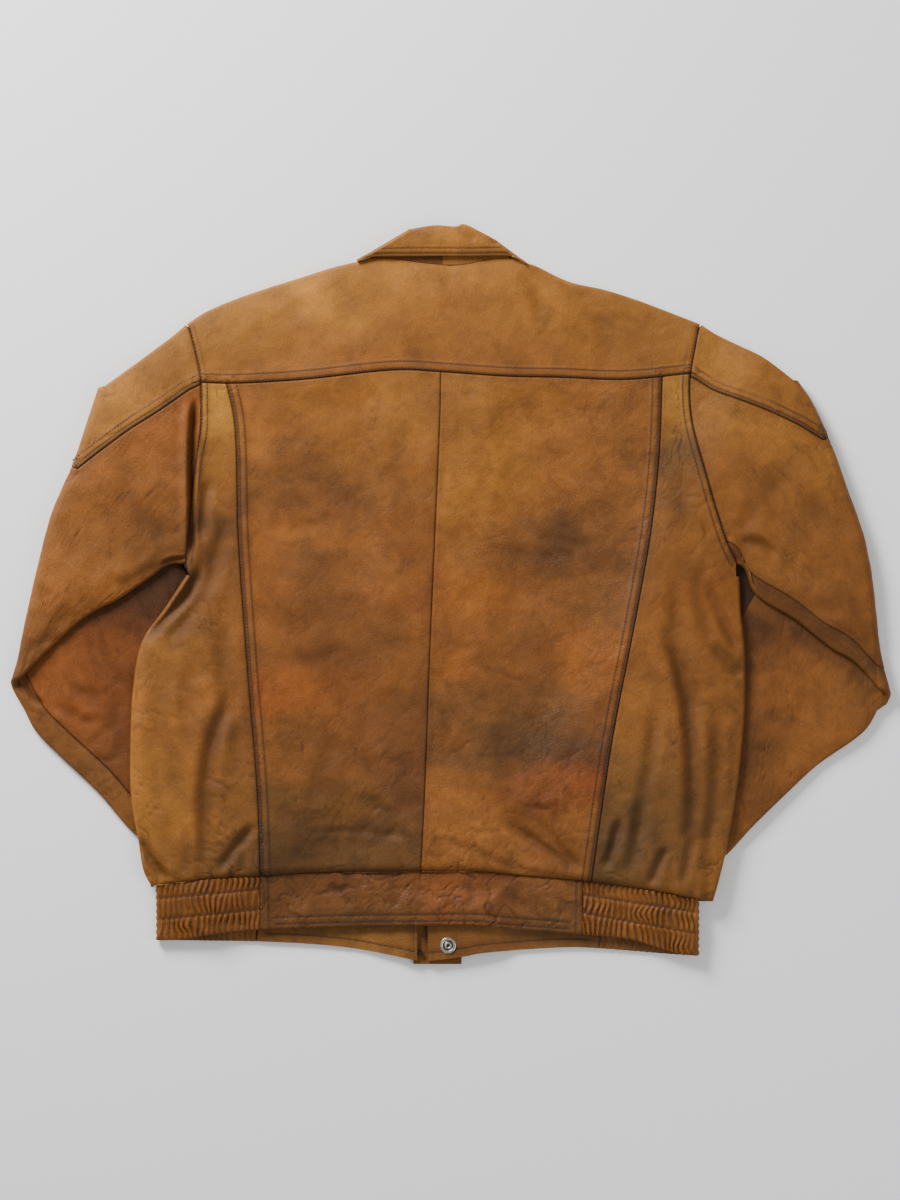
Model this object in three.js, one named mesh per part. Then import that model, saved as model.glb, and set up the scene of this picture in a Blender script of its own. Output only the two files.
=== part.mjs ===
// A leather blouson laid face down on a flat surface: back up, collar towards +Y, both sleeves
// folded under along a slanting crease. Every cloth piece is one closed wall of leather.
//
// The body and each sleeve are flattened tubes. A tube has a middle surface, and its back and
// front layers lie HALF above and below it; at a fold the wall goes round in a half circle of
// that radius. Each piece is a sheet of such tube points, so neighbours always line up.
import * as THREE from "three";

// Driving dimensions, in millimetres.
const WALL = 2.0; // leather with its backing
const HOLLOW = 3.4; // clear space between the body's back and front layers
const FOREARM_HOLLOW = 2.4; // the same inside a forearm, pressed by the body on it
const SEAM = 0.4; // gap between sewn neighbours
const REST = 0.6; // clearance between a layer and what it lies on
const FLAP_REST = 0.4;
const FOLD_DROP = 3; // the elastics' folds hang clear of the body that blouses over them
const PIT_GAP = 2.2; // extra room at the foot of the armhole
const SIDE_TAIL = 12; // how far a side panel goes on under the fold
const SHOULDER_TAIL = 12;
const CUFF_SEAM = 12; // from a cuff's lower edge to its seam
const CREASE_PRESS = 0.5; // how much closer a sleeve's crease presses its layers
const CREASE_GAP = 1.1; // half the gap at a seam in a crease
const ELBOW_DROP = 16; // how far a forearm's outer corner lies below the upper arm's
const FOLD_STEPS = 4; // facets round a fold
const CREASE_STEPS = 6; // facets round a sleeve's crease

const HALF = (HOLLOW + WALL) / 2;
const FOREARM_HALF = (FOREARM_HOLLOW + WALL) / 2;
const FOREARM_TOP = 2 * FOREARM_HALF + WALL;
const SLEEVE_LIFT = FOREARM_TOP + REST; // floor to the layer that lies on a forearm
const FLAP_LIFT = WALL + FLAP_REST;
const EDGE = HALF + WALL / 2; // from a fold's axis to its outer face

// Grid counts: rows run from hem to yoke, columns across.
const ROWS_TO_PIT = 6;
const ROWS_ABOVE_PIT = 5;
const PIT_SHARE = 0.62; // share of a long back seam that lies below the armpit
const SIDE_COLUMNS = 2;
const CENTRE_COLUMNS = 8;
const ARM_ROWS = 6;
const FOREARM_ROWS = 5;

const LEATHER = { tan: 0xa8763f, mid: 0x9a6436, dark: 0x7d5230, band: 0x7f5233 };

// ---------------------------------------------------------------- curves in the plane

const v2 = ([x, y]) => new THREE.Vector3(x, y, 0);

// A smooth curve through a few points.
const curve = (points) =>
  new THREE.CatmullRomCurve3(points.map(v2), false, "centripetal");

// Points at the given shares of a curve's length.
const at = (c, shares) => shares.map((s) => c.getPointAt(THREE.MathUtils.clamp(s, 0, 1)));

const evenly = (n, from = 0, to = 1) =>
  Array.from({ length: n + 1 }, (_, i) => from + ((to - from) * i) / n);

// Joins lists of points end to end, each next list without its first point.
const chain = (first, ...rest) => rest.reduce((all, r) => all.concat(r.slice(1)), first);

// y of a left-to-right curve at x.
function heightAt(c, x) {
  let [low, high] = [0, 1];
  for (let i = 0; i < 30; i++) {
    const middle = (low + high) / 2;
    if (c.getPoint(middle).x < x) low = middle;
    else high = middle;
  }
  return c.getPoint((low + high) / 2).y;
}

const along = (c, xs) => xs.map((x) => new THREE.Vector3(x, heightAt(c, x), 0));

// Unit normals of a row of points in the plane, turned a quarter to the left of travel.
function leftNormals(points) {
  return points.map((_, i) => {
    const a = points[Math.max(i - 1, 0)];
    const b = points[Math.min(i + 1, points.length - 1)];
    const d = b.clone().sub(a).setZ(0).normalize();
    return new THREE.Vector3(-d.y, d.x, 0);
  });
}

// A row of points moved sideways; positive is to the left of travel.
const beside = (points, distance) => {
  const normals = leftNormals(points);
  return points.map((p, i) => p.clone().addScaledVector(normals[i], distance));
};

// Coons patch: a grid of plane points, rows from bottom to top, columns from left to right.
function coons(bottom, top, left, right) {
  const across = bottom.length - 1;
  const up = left.length - 1;
  const mix = (a, b, s) => a.clone().lerp(b, s);
  return left.map((_, j) =>
    bottom.map((__, i) => {
      const u = i / across;
      const v = j / up;
      const corners = mix(mix(bottom[0], bottom[across], u), mix(top[0], top[across], u), v);
      return mix(bottom[i], top[i], v).add(mix(left[j], right[j], u)).sub(corners);
    }),
  );
}

// Draws a grid's border rows and columns in by half a seam.
function seamed(grid, sides) {
  const last = grid.length - 1;
  const half = SEAM / 2;
  grid.forEach((row, j) =>
    row.forEach((p, i) => {
      if (i === 0 && sides.includes("left")) p.x += half;
      if (i === row.length - 1 && sides.includes("right")) p.x -= half;
      if (j === 0 && sides.includes("bottom")) p.y += half;
      if (j === last && sides.includes("top")) p.y -= half;
    }),
  );
  return grid;
}

// ---------------------------------------------------------------- outlines, in millimetres

// Outer edges of the folded garment and its seams. The left and right halves differ a little.
const LEFT = {
  name: "left",
  out: -1,
  shoulder: [
    [-98, 331.5], [-118, 326.5], [-150, 316.5], [-182, 306.5], [-214, 295.5], [-246, 281.5],
    [-263.5, 270],
  ],
  armhole: [
    [-261.5, 267], [-255, 243], [-249.5, 216], [-248.5, 190], [-249, 163], [-254.5, 131],
    [-258.5, 95], [-261, 62], [-264, 34],
  ],
  side: [
    [-298, -292], [-306, -277], [-312, -243], [-318.5, -205], [-319.5, -151], [-316, -85],
    [-307, -45], [-284, -12], [-263, 20],
  ],
  overarm: [[-263.5, 270], [-277.5, 258.5], [-311.5, 232.5], [-348, 206]],
  crease: [
    [-349, 204], [-376.5, 130], [-396.5, 85.5], [-412, 27], [-421.5, -25], [-423.5, -62],
    [-425.5, -88],
  ],
  underarm: [
    [-264, 30.3], [-281, 29.5], [-298.5, 17.5], [-329.5, -3.5], [-363.5, -22.5], [-396.5, -51.5],
    [-427, -82.5],
  ],
  forearm: [
    [-427, -113], [-415, -136], [-392, -160], [-354, -196], [-311, -243], [-277, -257],
    [-243, -257],
  ],
  inner: [[-350, 186], [-300, 92], [-238, -25], [-158, -182]],
  overSeam: [0.25, 0.27, 0.3], // share of the sleeve's width above the top seam: armhole, crease, cuff
  underWrap: "back", // the piece that goes round the lower edge
  underInset: 22,
};
const RIGHT = {
  name: "right",
  out: 1,
  shoulder: [
    [82, 329.5], [90, 326], [105.5, 318], [121.5, 311.5], [153.5, 304.5], [185.5, 294.5],
    [217.5, 282.5], [249.5, 270],
  ],
  armhole: [
    [248, 267], [245, 250], [241.5, 231], [239, 212], [241, 175], [254, 124], [267, 79], [277, 50],
    [285, 34],
  ],
  side: [
    [262, -306], [268, -285], [275, -256], [284, -208], [291.5, -147], [294.5, -87], [293.5, -50],
    [289.5, -15], [288.5, 18],
  ],
  overarm: [[249.5, 270], [264.5, 260.5], [288.5, 248.5], [312.5, 236.5], [345, 212]],
  crease: [
    [346, 211], [361.5, 188.5], [378.5, 152.5], [397, 102], [411, 62], [420.5, 10], [423.5, -40],
    [426.3, -88],
  ],
  underarm: [
    [286, 30.3], [293, 25], [303.5, 0.5], [344.5, -26.5], [378.5, -53.5], [402.5, -67.5],
    [427, -94],
  ],
  forearm: [
    [428, -113], [414.5, -135.5], [365.5, -171.5], [339.5, -195.5], [302.5, -231.5], [271, -264],
    [244, -276],
  ],
  inner: [[347, 194], [300, 95], [238, -25], [156, -194]],
  overSeam: [0.21, 0.2, 0.28],
  underWrap: "front",
  underInset: 20,
};

const YOKE_SEAM = curve([
  [-249, 211.5], [-223, 210.5], [-146, 214.5], [-52, 224], [-9.5, 222], [57, 217.5], [110, 216.5],
  [175, 214.5], [239.5, 220.5],
]);
const CENTRE_SEAM = curve([
  [-29.5, -276.5], [-25.5, -195], [-20.5, -57.5], [-16.5, 34.5], [-10.5, 174.5], [-9.5, 222],
]);
const PRINCESS_LEFT = curve([
  [-189.5, -281], [-192.5, -195.5], [-203.5, -57.5], [-211.5, 61.5], [-215.5, 172.5],
  [-223.5, 210.5],
]);
const PRINCESS_RIGHT = curve([
  [140.5, -286.5], [160.5, -149.5], [185.5, -19.5], [200.5, 66.5], [208.5, 142.5], [211.5, 217],
]);
const HEM_SEAM = curve([
  [-297, -290], [-240, -283.5], [-190, -281], [-128.5, -277.5], [29.5, -276.5], [59.5, -279.5],
  [137.5, -286.5], [200, -295], [262, -307],
]);
const BACK_BAND_EDGE = curve([
  [-293, -345.5], [-271.5, -344.5], [-222.5, -337], [-188.5, -334.5], [-50.5, -331],
  [29.5, -330.5], [60, -334], [131.5, -339.5], [178.5, -344.5], [228.5, -358.5], [244, -360.5],
]);
const FRONT_HEM_SEAM = curve([
  [-299, -290.5], [-290, -289.5], [-240, -292], [-193, -296], [-120, -300], [-33, -312],
  [-23, -311], [60, -303], [148, -302], [200, -302], [244, -304], [262, -307],
]);
const FRONT_BAND_EDGE = curve([
  [-293, -345.5], [-246.5, -345.5], [-150.5, -348.5], [-97.5, -353.5], [-52.5, -361.5],
  [-28, -366], [11, -362], [29.5, -358.5], [50.5, -356.5], [120.5, -352.5], [146.5, -353.5],
  [211.5, -358.5], [244, -360.5],
]);

const BAND = {
  left: -294, right: 248,
  centreLeft: -190.5, centreRight: 132.5,
  frontLeft: -193, frontRight: 148,
};
const FRONT_EDGE = { left: -33, right: -23 };
const NECKLINE = {
  left: curve([[-98, 318], [-90, 297], [-74, 268], [-54, 248], [-33, 240]]),
  right: curve([[-23, 240], [2, 246], [30, 265], [60, 294], [82, 318]]),
};
const NECK_SEAM = curve([
  [-82, 336], [-56.5, 335.2], [-25, 330.8], [7.5, 329.3], [43.5, 335.2], [64, 336],
]);
const STAND = { left: -76, join: -7.5, right: 58, columns: 4 };
const FLAP = { left: -37, right: 11, bottom: -369.3, top: 240 };
// The snap's cap lifts the flap's lower end, and cap, flap and socket together lift the band's.
const SNAP = { x: -2.5, y: -350.5, capRadius: 7, socketRadius: 6, ringRadius: 8, cap: 1.1, socket: 1.0 };
const CAP_LIFT = SNAP.cap + 0.3;
const SNAP_LIFT = CAP_LIFT + WALL + 0.3 + SNAP.socket + 0.4;

// ---------------------------------------------------------------- heights

const smooth = (s) => THREE.MathUtils.smoothstep(s, 0, 1);

// Distance outside a convex outline, zero or less inside; corners go either way round.
function outside(corners, x, y) {
  const share = 1 / corners.length;
  const centre = corners.reduce((sum, c) => [sum[0] + c[0] * share, sum[1] + c[1] * share], [0, 0]);
  return Math.max(
    ...corners.map(([ax, ay], i) => {
      const [bx, by] = corners[(i + 1) % corners.length];
      const length = Math.hypot(bx - ax, by - ay);
      const side = (px, py) => ((bx - ax) * (py - ay) - (by - ay) * (px - ax)) / length;
      return side(x, y) * -Math.sign(side(...centre));
    }),
  );
}

// What lies under the fronts, and how softly the leather comes down beside it.
const UNDER = [
  ...[LEFT, RIGHT].map((s) => ({
    corners: [s.crease[0], s.crease.at(-1), s.forearm[0], s.forearm.at(-1), s.inner.at(-1)],
    lift: SLEEVE_LIFT,
    level: 34,
    slope: 62,
  })),
  {
    corners: [
      [FLAP.left, FLAP.bottom], [FLAP.right, FLAP.bottom],
      [FLAP.right, FLAP.top], [FLAP.left, FLAP.top],
    ],
    lift: FLAP_LIFT,
    level: 22,
    slope: 36,
  },
  {
    corners: [
      [SNAP.x - 10, SNAP.y - 20], [SNAP.x + 10, SNAP.y - 20],
      [SNAP.x + 10, SNAP.y + 10], [SNAP.x - 10, SNAP.y + 10],
    ],
    lift: SNAP_LIFT,
    level: 26,
    slope: 36,
  },
  { corners: [
    [-100, 345], [-104, 240], [-30, 240], [-42, 364],
  ], lift: FLAP_LIFT, level: 22, slope: 36 },
  { corners: [[82, 345], [88, 240], [14, 240], [48, 364]], lift: FLAP_LIFT, level: 22, slope: 36 },
];

const lift = (x, y) =>
  Math.max(...UNDER.map((u) => u.lift * smooth(1 - (outside(u.corners, x, y) - u.level) / u.slope)));

// The body's middle surface.
const middle = (x, y) => lift(x, y) + WALL / 2 + HALF;

// ---------------------------------------------------------------- sheets

// A wall: pairs of outer and inner points joined by quads. Border edges are closed by the wall's
// own thickness. Points that fall together are shared, so strips can be added side by side.
class Sheet {
  constructor() {
    this.points = [];
    this.quads = [];
    this.known = new Map();
    this.edges = new Map(); // directed border edges; two that run opposite ways cancel
  }

  pair([outer, inner]) {
    const key = [outer, inner].flatMap((p) => [p.x, p.y, p.z].map((n) => Math.round(n * 200))).join();
    if (!this.known.has(key)) {
      this.known.set(key, this.points.length);
      this.points.push([outer, inner]);
    }
    return this.known.get(key);
  }

  // Adds rows of pairs, turned over if they would face against the strip they join.
  grid(pairs) {
    const ids = pairs.map((row) => row.map((p) => this.pair(p)));
    let quads = [];
    for (let j = 0; j + 1 < ids.length; j++)
      for (let i = 0; i + 1 < ids[j].length; i++)
        quads.push([ids[j][i], ids[j][i + 1], ids[j + 1][i + 1], ids[j + 1][i]]);
    const sides = (q) => q.map((p, k) => [p, q[(k + 1) % 4]]);
    if (quads.some((q) => sides(q).some((e) => this.edges.has(e.join()))))
      quads = quads.map((q) => q.toReversed());
    for (const [p, q] of quads.flatMap(sides))
      if (!this.edges.delete([q, p].join())) this.edges.set([p, q].join(), [p, q]);
    this.quads.push(...quads);
    return this;
  }

  geometry() {
    const triangles = [];
    const facet = (a, b, c, d) => triangles.push([a, b, c], [a, c, d]);
    const outer = (id) => 2 * id;
    const inner = (id) => 2 * id + 1;
    for (const [a, b, c, d] of this.quads) {
      facet(outer(a), outer(b), outer(c), outer(d));
      facet(inner(d), inner(c), inner(b), inner(a));
    }
    for (const [p, q] of this.edges.values()) facet(outer(q), outer(p), inner(p), inner(q));
    const flat = this.points.flat();
    const volume = triangles.reduce(
      (sum, [a, b, c]) => sum + flat[a].dot(flat[b].clone().cross(flat[c])), 0);
    const facing = volume > 0 ? triangles : triangles.map(([a, b, c]) => [a, c, b]);
    return new THREE.BufferGeometry()
      .setAttribute("position", new THREE.Float32BufferAttribute(flat.flatMap((p) => [p.x, p.y, p.z]), 3))
      .setIndex(facing.flat());
  }
}

const jacket = new THREE.Group();

function add(name, geometry, colour, roughness = 0.55, metalness = 0) {
  geometry.computeVertexNormals();
  const material = new THREE.MeshStandardMaterial({ color: colour, roughness, metalness });
  const mesh = new THREE.Mesh(geometry, material);
  mesh.name = name;
  jacket.add(mesh);
}

const BACK = 1;
const FRONT = -1;
const raised = (p, z) => new THREE.Vector3(p.x, p.y, z);

// Outer and inner points of a body layer above or below a plane point.
function laid(p, layer, mid = middle, half = HALF) {
  const m = mid(p.x, p.y);
  return [raised(p, m + layer * (half + WALL / 2)), raised(p, m + layer * (half - WALL / 2))];
}

// Points round a fold whose axis runs through p, with a straight run on after it.
function folded(p, out, angle, run, layer, mid = middle, half = HALF) {
  const m = mid(p.x, p.y);
  return [half + WALL / 2, half - WALL / 2].map((r) =>
    p.clone()
      .addScaledVector(out, r * Math.sin(angle) + run * Math.cos(angle))
      .setZ(m + layer * (r * Math.cos(angle) - run * Math.sin(angle))),
  );
}

// A strip that goes on from a row of fold axis points: round the fold, then a straight tail.
function foldStrip(axis, outs, tail, layer, mid, half) {
  const steps = evenly(FOLD_STEPS).map((s) => [s * Math.PI, 0]).concat([[Math.PI, tail]]);
  return axis.map((p, i) => steps.map(([angle, run]) => folded(p, outs[i], angle, run, layer, mid, half)));
}

// ---------------------------------------------------------------- body

const pitRows = evenly(ROWS_TO_PIT, 0, PIT_SHARE).concat(evenly(ROWS_ABOVE_PIT, PIT_SHARE, 1).slice(1));
const seamRows = (c) => at(c, pitRows);

for (const s of [LEFT, RIGHT]) {
  s.inward = -s.out;
  // Fold axes lie inside the outline by the fold's outer radius.
  s.sideAxis = beside(at(curve(s.side), evenly(ROWS_TO_PIT)), s.inward * -EDGE);
  s.armholeCurve = curve(s.armhole);
  s.shoulderAxis = beside(at(curve(s.shoulder), evenly(6)), s.out * -EDGE);
}

// The body's edge of an armhole, between two shares of its length, clear of the sleeve's tube.
function bodyArmhole(s, from, to, steps) {
  return at(s.armholeCurve, evenly(steps, from, to)).map((p, i) => {
    const share = from + ((to - from) * i) / steps;
    p.x += s.inward * (SEAM / 2 + PIT_GAP * share ** 4);
    return p;
  });
}

// Share of the armhole's length where the yoke seam meets it.
function yokeShare(s) {
  let [low, high] = [0, 1];
  const seamY = heightAt(YOKE_SEAM, s.armhole[3][0]);
  for (let i = 0; i < 30; i++) {
    const m = (low + high) / 2;
    if (s.armholeCurve.getPointAt(m).y > seamY) low = m;
    else high = m;
  }
  return low;
}

// Sets a seam's ends on the hem and yoke seams.
function tied(points) {
  const [first, last] = [points[0], points.at(-1)];
  first.y = heightAt(HEM_SEAM, first.x);
  last.y = heightAt(YOKE_SEAM, last.x);
  return points;
}

const centreSeam = tied(seamRows(CENTRE_SEAM));
const princess = { left: tied(seamRows(PRINCESS_LEFT)), right: tied(seamRows(PRINCESS_RIGHT)) };
const columnsOf = (from, to, n) => evenly(n, from.x, to.x);

const layGrid = (grid, layer) => grid.map((row) => row.map((p) => laid(p, layer)));

for (const [name, left, right] of [
  ["back_centre_left", princess.left, centreSeam],
  ["back_centre_right", centreSeam, princess.right],
]) {
  const bottom = along(HEM_SEAM, columnsOf(left[0], right[0], CENTRE_COLUMNS));
  const top = along(YOKE_SEAM, columnsOf(left.at(-1), right.at(-1), CENTRE_COLUMNS));
  const grid = seamed(coons(bottom, top, left, right), ["left", "right", "top", "bottom"]);
  add(name, new Sheet().grid(layGrid(grid, BACK)).geometry(), LEATHER.mid);
}

for (const s of [LEFT, RIGHT]) {
  const share = yokeShare(s);
  const armhole = bodyArmhole(s, share, 0.99, ROWS_ABOVE_PIT).reverse();
  const side = chain(s.sideAxis, [s.sideAxis.at(-1), ...armhole.slice(1)]);
  side[0] = s.sideAxis[0].clone();
  side[0].y = heightAt(HEM_SEAM, side[0].x);
  const seam = princess[s.name];
  side.at(-1).y = heightAt(YOKE_SEAM, side.at(-1).x);
  s.side3d = side;
  const [left, right] = s.out < 0 ? [side, seam] : [seam, side];
  const bottom = along(HEM_SEAM, columnsOf(left[0], right[0], SIDE_COLUMNS));
  const top = along(YOKE_SEAM, columnsOf(left.at(-1), right.at(-1), SIDE_COLUMNS));
  const seamSide = s.out < 0 ? "right" : "left";
  const grid = seamed(coons(bottom, top, left, right), [seamSide, "top", "bottom"]);
  const edge = grid.map((row) => (s.out < 0 ? row[0] : row.at(-1)));
  const axis = edge.slice(0, ROWS_TO_PIT + 1);
  const outs = leftNormals(axis).map((n) => n.multiplyScalar(s.inward));
  outs[0].set(s.out, 0, 0);
  const sheet = new Sheet().grid(layGrid(grid, BACK)).grid(foldStrip(axis, outs, SIDE_TAIL, BACK));
  add(`back_side_${s.name}`, sheet.geometry(), LEATHER.tan);
}

// Yoke: over both shoulders and round onto the front, open at the back of the neck.
{
  const armholes = [LEFT, RIGHT].map((s) => bodyArmhole(s, 0, yokeShare(s), 4).reverse());
  armholes.forEach((a) => (a[0].y = heightAt(YOKE_SEAM, a[0].x)));
  const [left, right] = armholes;
  const bottom = along(YOKE_SEAM, [
    ...columnsOf(left[0], princess.left.at(-1), SIDE_COLUMNS),
    ...columnsOf(princess.left.at(-1), centreSeam.at(-1), CENTRE_COLUMNS).slice(1),
    ...columnsOf(centreSeam.at(-1), princess.right.at(-1), CENTRE_COLUMNS).slice(1),
    ...columnsOf(princess.right.at(-1), right[0], SIDE_COLUMNS).slice(1),
  ]);
  const leftShoulder = LEFT.shoulderAxis.slice().reverse();
  const rightShoulder = RIGHT.shoulderAxis;
  leftShoulder[0] = left.at(-1);
  rightShoulder[rightShoulder.length - 1] = right.at(-1);
  const neck = along(NECK_SEAM, [
    ...evenly(STAND.columns, STAND.left, STAND.join),
    ...evenly(STAND.columns, STAND.join, STAND.right).slice(1),
  ]);
  neck.forEach((p) => (p.y -= SEAM));
  neck[0] = leftShoulder.at(-1);
  neck[neck.length - 1] = rightShoulder[0];
  const top = chain(leftShoulder, neck, rightShoulder);
  const grid = seamed(coons(bottom, top, left, right), ["bottom"]);
  const crown = grid.at(-1);
  const sheet = new Sheet().grid(layGrid(grid, BACK));
  for (const part of [crown.slice(0, 7), crown.slice(-7)])
    sheet.grid(foldStrip(part, leftNormals(part), SHOULDER_TAIL, BACK));
  add("yoke_back", sheet.geometry(), LEATHER.tan);
}

// Fronts: the layer on the surface, up over the forearms, flap and collar that lie under it.
for (const s of [LEFT, RIGHT]) {
  const edgeX = FRONT_EDGE[s.name];
  const low = beside(s.side3d.slice(0, ROWS_TO_PIT + 1), s.inward * -(SIDE_TAIL + SEAM));
  low[0].x = s.side3d[0].x + s.inward * (SIDE_TAIL + SEAM);
  low[0].y = heightAt(FRONT_HEM_SEAM, low[0].x);
  const high = bodyArmhole(s, 0.02, 0.97, ROWS_ABOVE_PIT).reverse();
  high.forEach((p) => (p.x += s.inward * SEAM));
  const side = low.concat(high.slice(1).map((p) => p.clone()));
  const shoulder = beside(s.shoulderAxis, s.out * -(SHOULDER_TAIL + SEAM));
  const shoulderRun = s.out < 0 ? shoulder.slice().reverse() : shoulder;
  const neck = at(NECKLINE[s.name], evenly(4));
  side[side.length - 1] = (s.out < 0 ? shoulderRun[0] : shoulderRun.at(-1)).clone();
  if (s.out < 0) neck[0] = shoulderRun.at(-1);
  else neck[4] = shoulderRun[0];
  const top = s.out < 0 ? chain(shoulderRun, neck) : chain(neck, shoulderRun);
  const edgeTop = s.out < 0 ? top.at(-1) : top[0];
  const hemY = heightAt(FRONT_HEM_SEAM, edgeX);
  const edge = pitRows.map((v) => new THREE.Vector3(edgeX, hemY + (edgeTop.y - hemY) * v, 0));
  const [left, right] = s.out < 0 ? [side, edge] : [edge, side];
  const bottom = along(FRONT_HEM_SEAM, columnsOf(left[0], right[0], top.length - 1));
  const grid = seamed(coons(bottom, top, left, right), ["bottom"]);
  add(`front_${s.name}`, new Sheet().grid(layGrid(grid, FRONT)).geometry(), LEATHER.mid);
}

// ---------------------------------------------------------------- hem band

// A strip between a seam above and an edge below, over the given columns.
function strip(xs, above, below, rows, dy = SEAM) {
  return evenly(rows).map((v) =>
    xs.map((x) => {
      const [high, low] = [heightAt(above, x) - dy, heightAt(below, x)];
      return new THREE.Vector3(x, low + (high - low) * v, 0);
    }),
  );
}

const half = SEAM / 2;
const bandColumns = evenly(8, BAND.centreLeft + half, BAND.centreRight - half);
const bandStrip = strip(bandColumns, HEM_SEAM, BACK_BAND_EDGE, 2);
add("band_back", new Sheet().grid(layGrid(bandStrip, BACK)).geometry(), LEATHER.band);

for (const s of [LEFT, RIGHT]) {
  const name = s.name;
  const centre = name === "left" ? BAND.centreLeft - half : BAND.centreRight + half;
  const axisX = BAND[name] + s.inward * EDGE;
  const front = (name === "left" ? BAND.frontLeft : BAND.frontRight) + s.out * half;
  const back = strip(evenly(4, centre, axisX), HEM_SEAM, BACK_BAND_EDGE, 2);
  const under = strip(evenly(4, axisX, front), FRONT_HEM_SEAM, FRONT_BAND_EDGE, 2);
  back.at(-1).at(-1).y -= FOLD_DROP;
  const rows = back.map((row, j) => {
    const axis = row.at(-1);
    under[j][0] = axis.clone();
    const turn = evenly(FOLD_STEPS).slice(1, -1).map((t) =>
      folded(axis, new THREE.Vector3(s.out, 0, 0), t * Math.PI, 0, BACK));
    return [...row.map((p) => laid(p, BACK)), ...turn, ...under[j].map((p) => laid(p, FRONT))];
  });
  add(`elastic_${name}`, new Sheet().grid(rows).geometry(), LEATHER.band);

  const from = (name === "left" ? BAND.frontLeft : BAND.frontRight) + s.inward * half;
  const frontRows = strip(evenly(6, from, FRONT_EDGE[name]), FRONT_HEM_SEAM, FRONT_BAND_EDGE, 2);

  add(`band_front_${name}`, new Sheet().grid(layGrid(frontRows, FRONT)).geometry(), LEATHER.band);
}

// ---------------------------------------------------------------- sleeves

// One flattened tube: rows along the arm, each with its middle points, the way its back layer
// faces, its half thickness, and the ways out at its two edges.
function sleeveRows(s) {
  const columns = 6;
  const shares = evenly(columns);
  const over = beside(at(curve(s.overarm), evenly(ARM_ROWS)), s.out * -EDGE);
  const under = beside(at(curve(s.underarm), evenly(ARM_ROWS)), s.out * EDGE);
  const ridge = (SLEEVE_LIFT + WALL / 2 + HALF - (WALL / 2 + FOREARM_HALF)) / 2; // crease radius
  const creaseZ = WALL / 2 + FOREARM_HALF + ridge;
  const reach = ridge + (HALF + FOREARM_HALF) / 2 - CREASE_PRESS + WALL / 2;
  const outline = at(curve(s.crease), shares);
  const ways = leftNormals(outline).map((n) => n.multiplyScalar(s.out));
  const upper = outline.map((p, i) => p.clone().addScaledVector(ways[i], -reach));
  upper[0] = over.at(-1);
  upper[columns] = under.at(-1);
  const lower = upper.map((p, i) => {
    const d = outline[columns].clone().sub(outline[0]).normalize();
    return p.clone().addScaledVector(d, ELBOW_DROP * shares[i] ** 3);
  });
  const armhole = at(s.armholeCurve, shares);
  armhole.forEach((p) => (p.x += s.out * (SEAM / 2)));
  over[0] = armhole[0];
  under[0] = armhole[columns];
  const rows = [];
  const arm = coons(over, under, armhole, upper); // rows across the arm, columns along it
  for (let i = 0; i <= ARM_ROWS; i++)
    rows.push({
      middle: shares.map((_, j) => raised(arm[j][i], middle(arm[j][i].x, arm[j][i].y))),
      up: shares.map(() => new THREE.Vector3(0, 0, 1)),
      half: HALF,
      creased: i === ARM_ROWS,
    });
  for (let k = 1; k < CREASE_STEPS; k++) {
    const share = k / CREASE_STEPS;
    const angle = share * Math.PI;
    const up = ways.map((w) => w.clone().multiplyScalar(Math.sin(angle)).setZ(Math.cos(angle)));
    rows.push({
      middle: shares.map((_, j) =>
        raised(upper[j].clone().lerp(lower[j], share), creaseZ).addScaledVector(up[j], ridge)),
      up,
      half: HALF + (FOREARM_HALF - HALF) * share - CREASE_PRESS * Math.sin(angle),
      creased: true,
    });
  }
  const inner = at(curve(s.inner), evenly(FOREARM_ROWS));
  const outer = at(curve(s.forearm), evenly(FOREARM_ROWS));
  const foreEdge = FOREARM_HALF + WALL / 2;
  const innerAxis = beside(inner, s.out * foreEdge);
  const outerAxis = beside(outer, s.out * -foreEdge);
  innerAxis[0] = lower[0];
  outerAxis[0] = lower[columns];
  const cuffEnd = shares.map((t) => innerAxis.at(-1).clone().lerp(outerAxis.at(-1), t));
  const forearm = coons(innerAxis, outerAxis, lower, cuffEnd);
  for (let i = 0; i <= FOREARM_ROWS; i++)
    rows.push({
      middle: shares.map((_, j) => raised(forearm[j][i], WALL / 2 + FOREARM_HALF)),
      up: shares.map(() => new THREE.Vector3(0, 0, -1)),
      half: FOREARM_HALF,
      creased: i === 0,
    });
  rows.forEach((row, i) => {
    const [before, after] = [rows[Math.max(i - 1, 0)], rows[Math.min(i + 1, rows.length - 1)]];
    const run = (end) => after.middle[end].clone().sub(before.middle[end]);
    const way = (end, sign) =>
      run(end).cross(row.up[end]).multiplyScalar(sign * s.out).normalize();
    row.overWay = way(0, -1);
    row.underWay = way(columns, 1);
    row.perMm = 1 / row.middle[0].distanceTo(row.middle[columns]);
    // Seams open a little where the crease bends them.
    row.gap = (row.creased ? CREASE_GAP : SEAM / 2) * row.perMm;
    const share = i / (rows.length - 1);
    const [a, b, c] = s.overSeam;
    row.seamAt = share < 0.5 ? a + (b - a) * share * 2 : b + (c - b) * (share * 2 - 1);
  });
  return rows;
}

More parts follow.
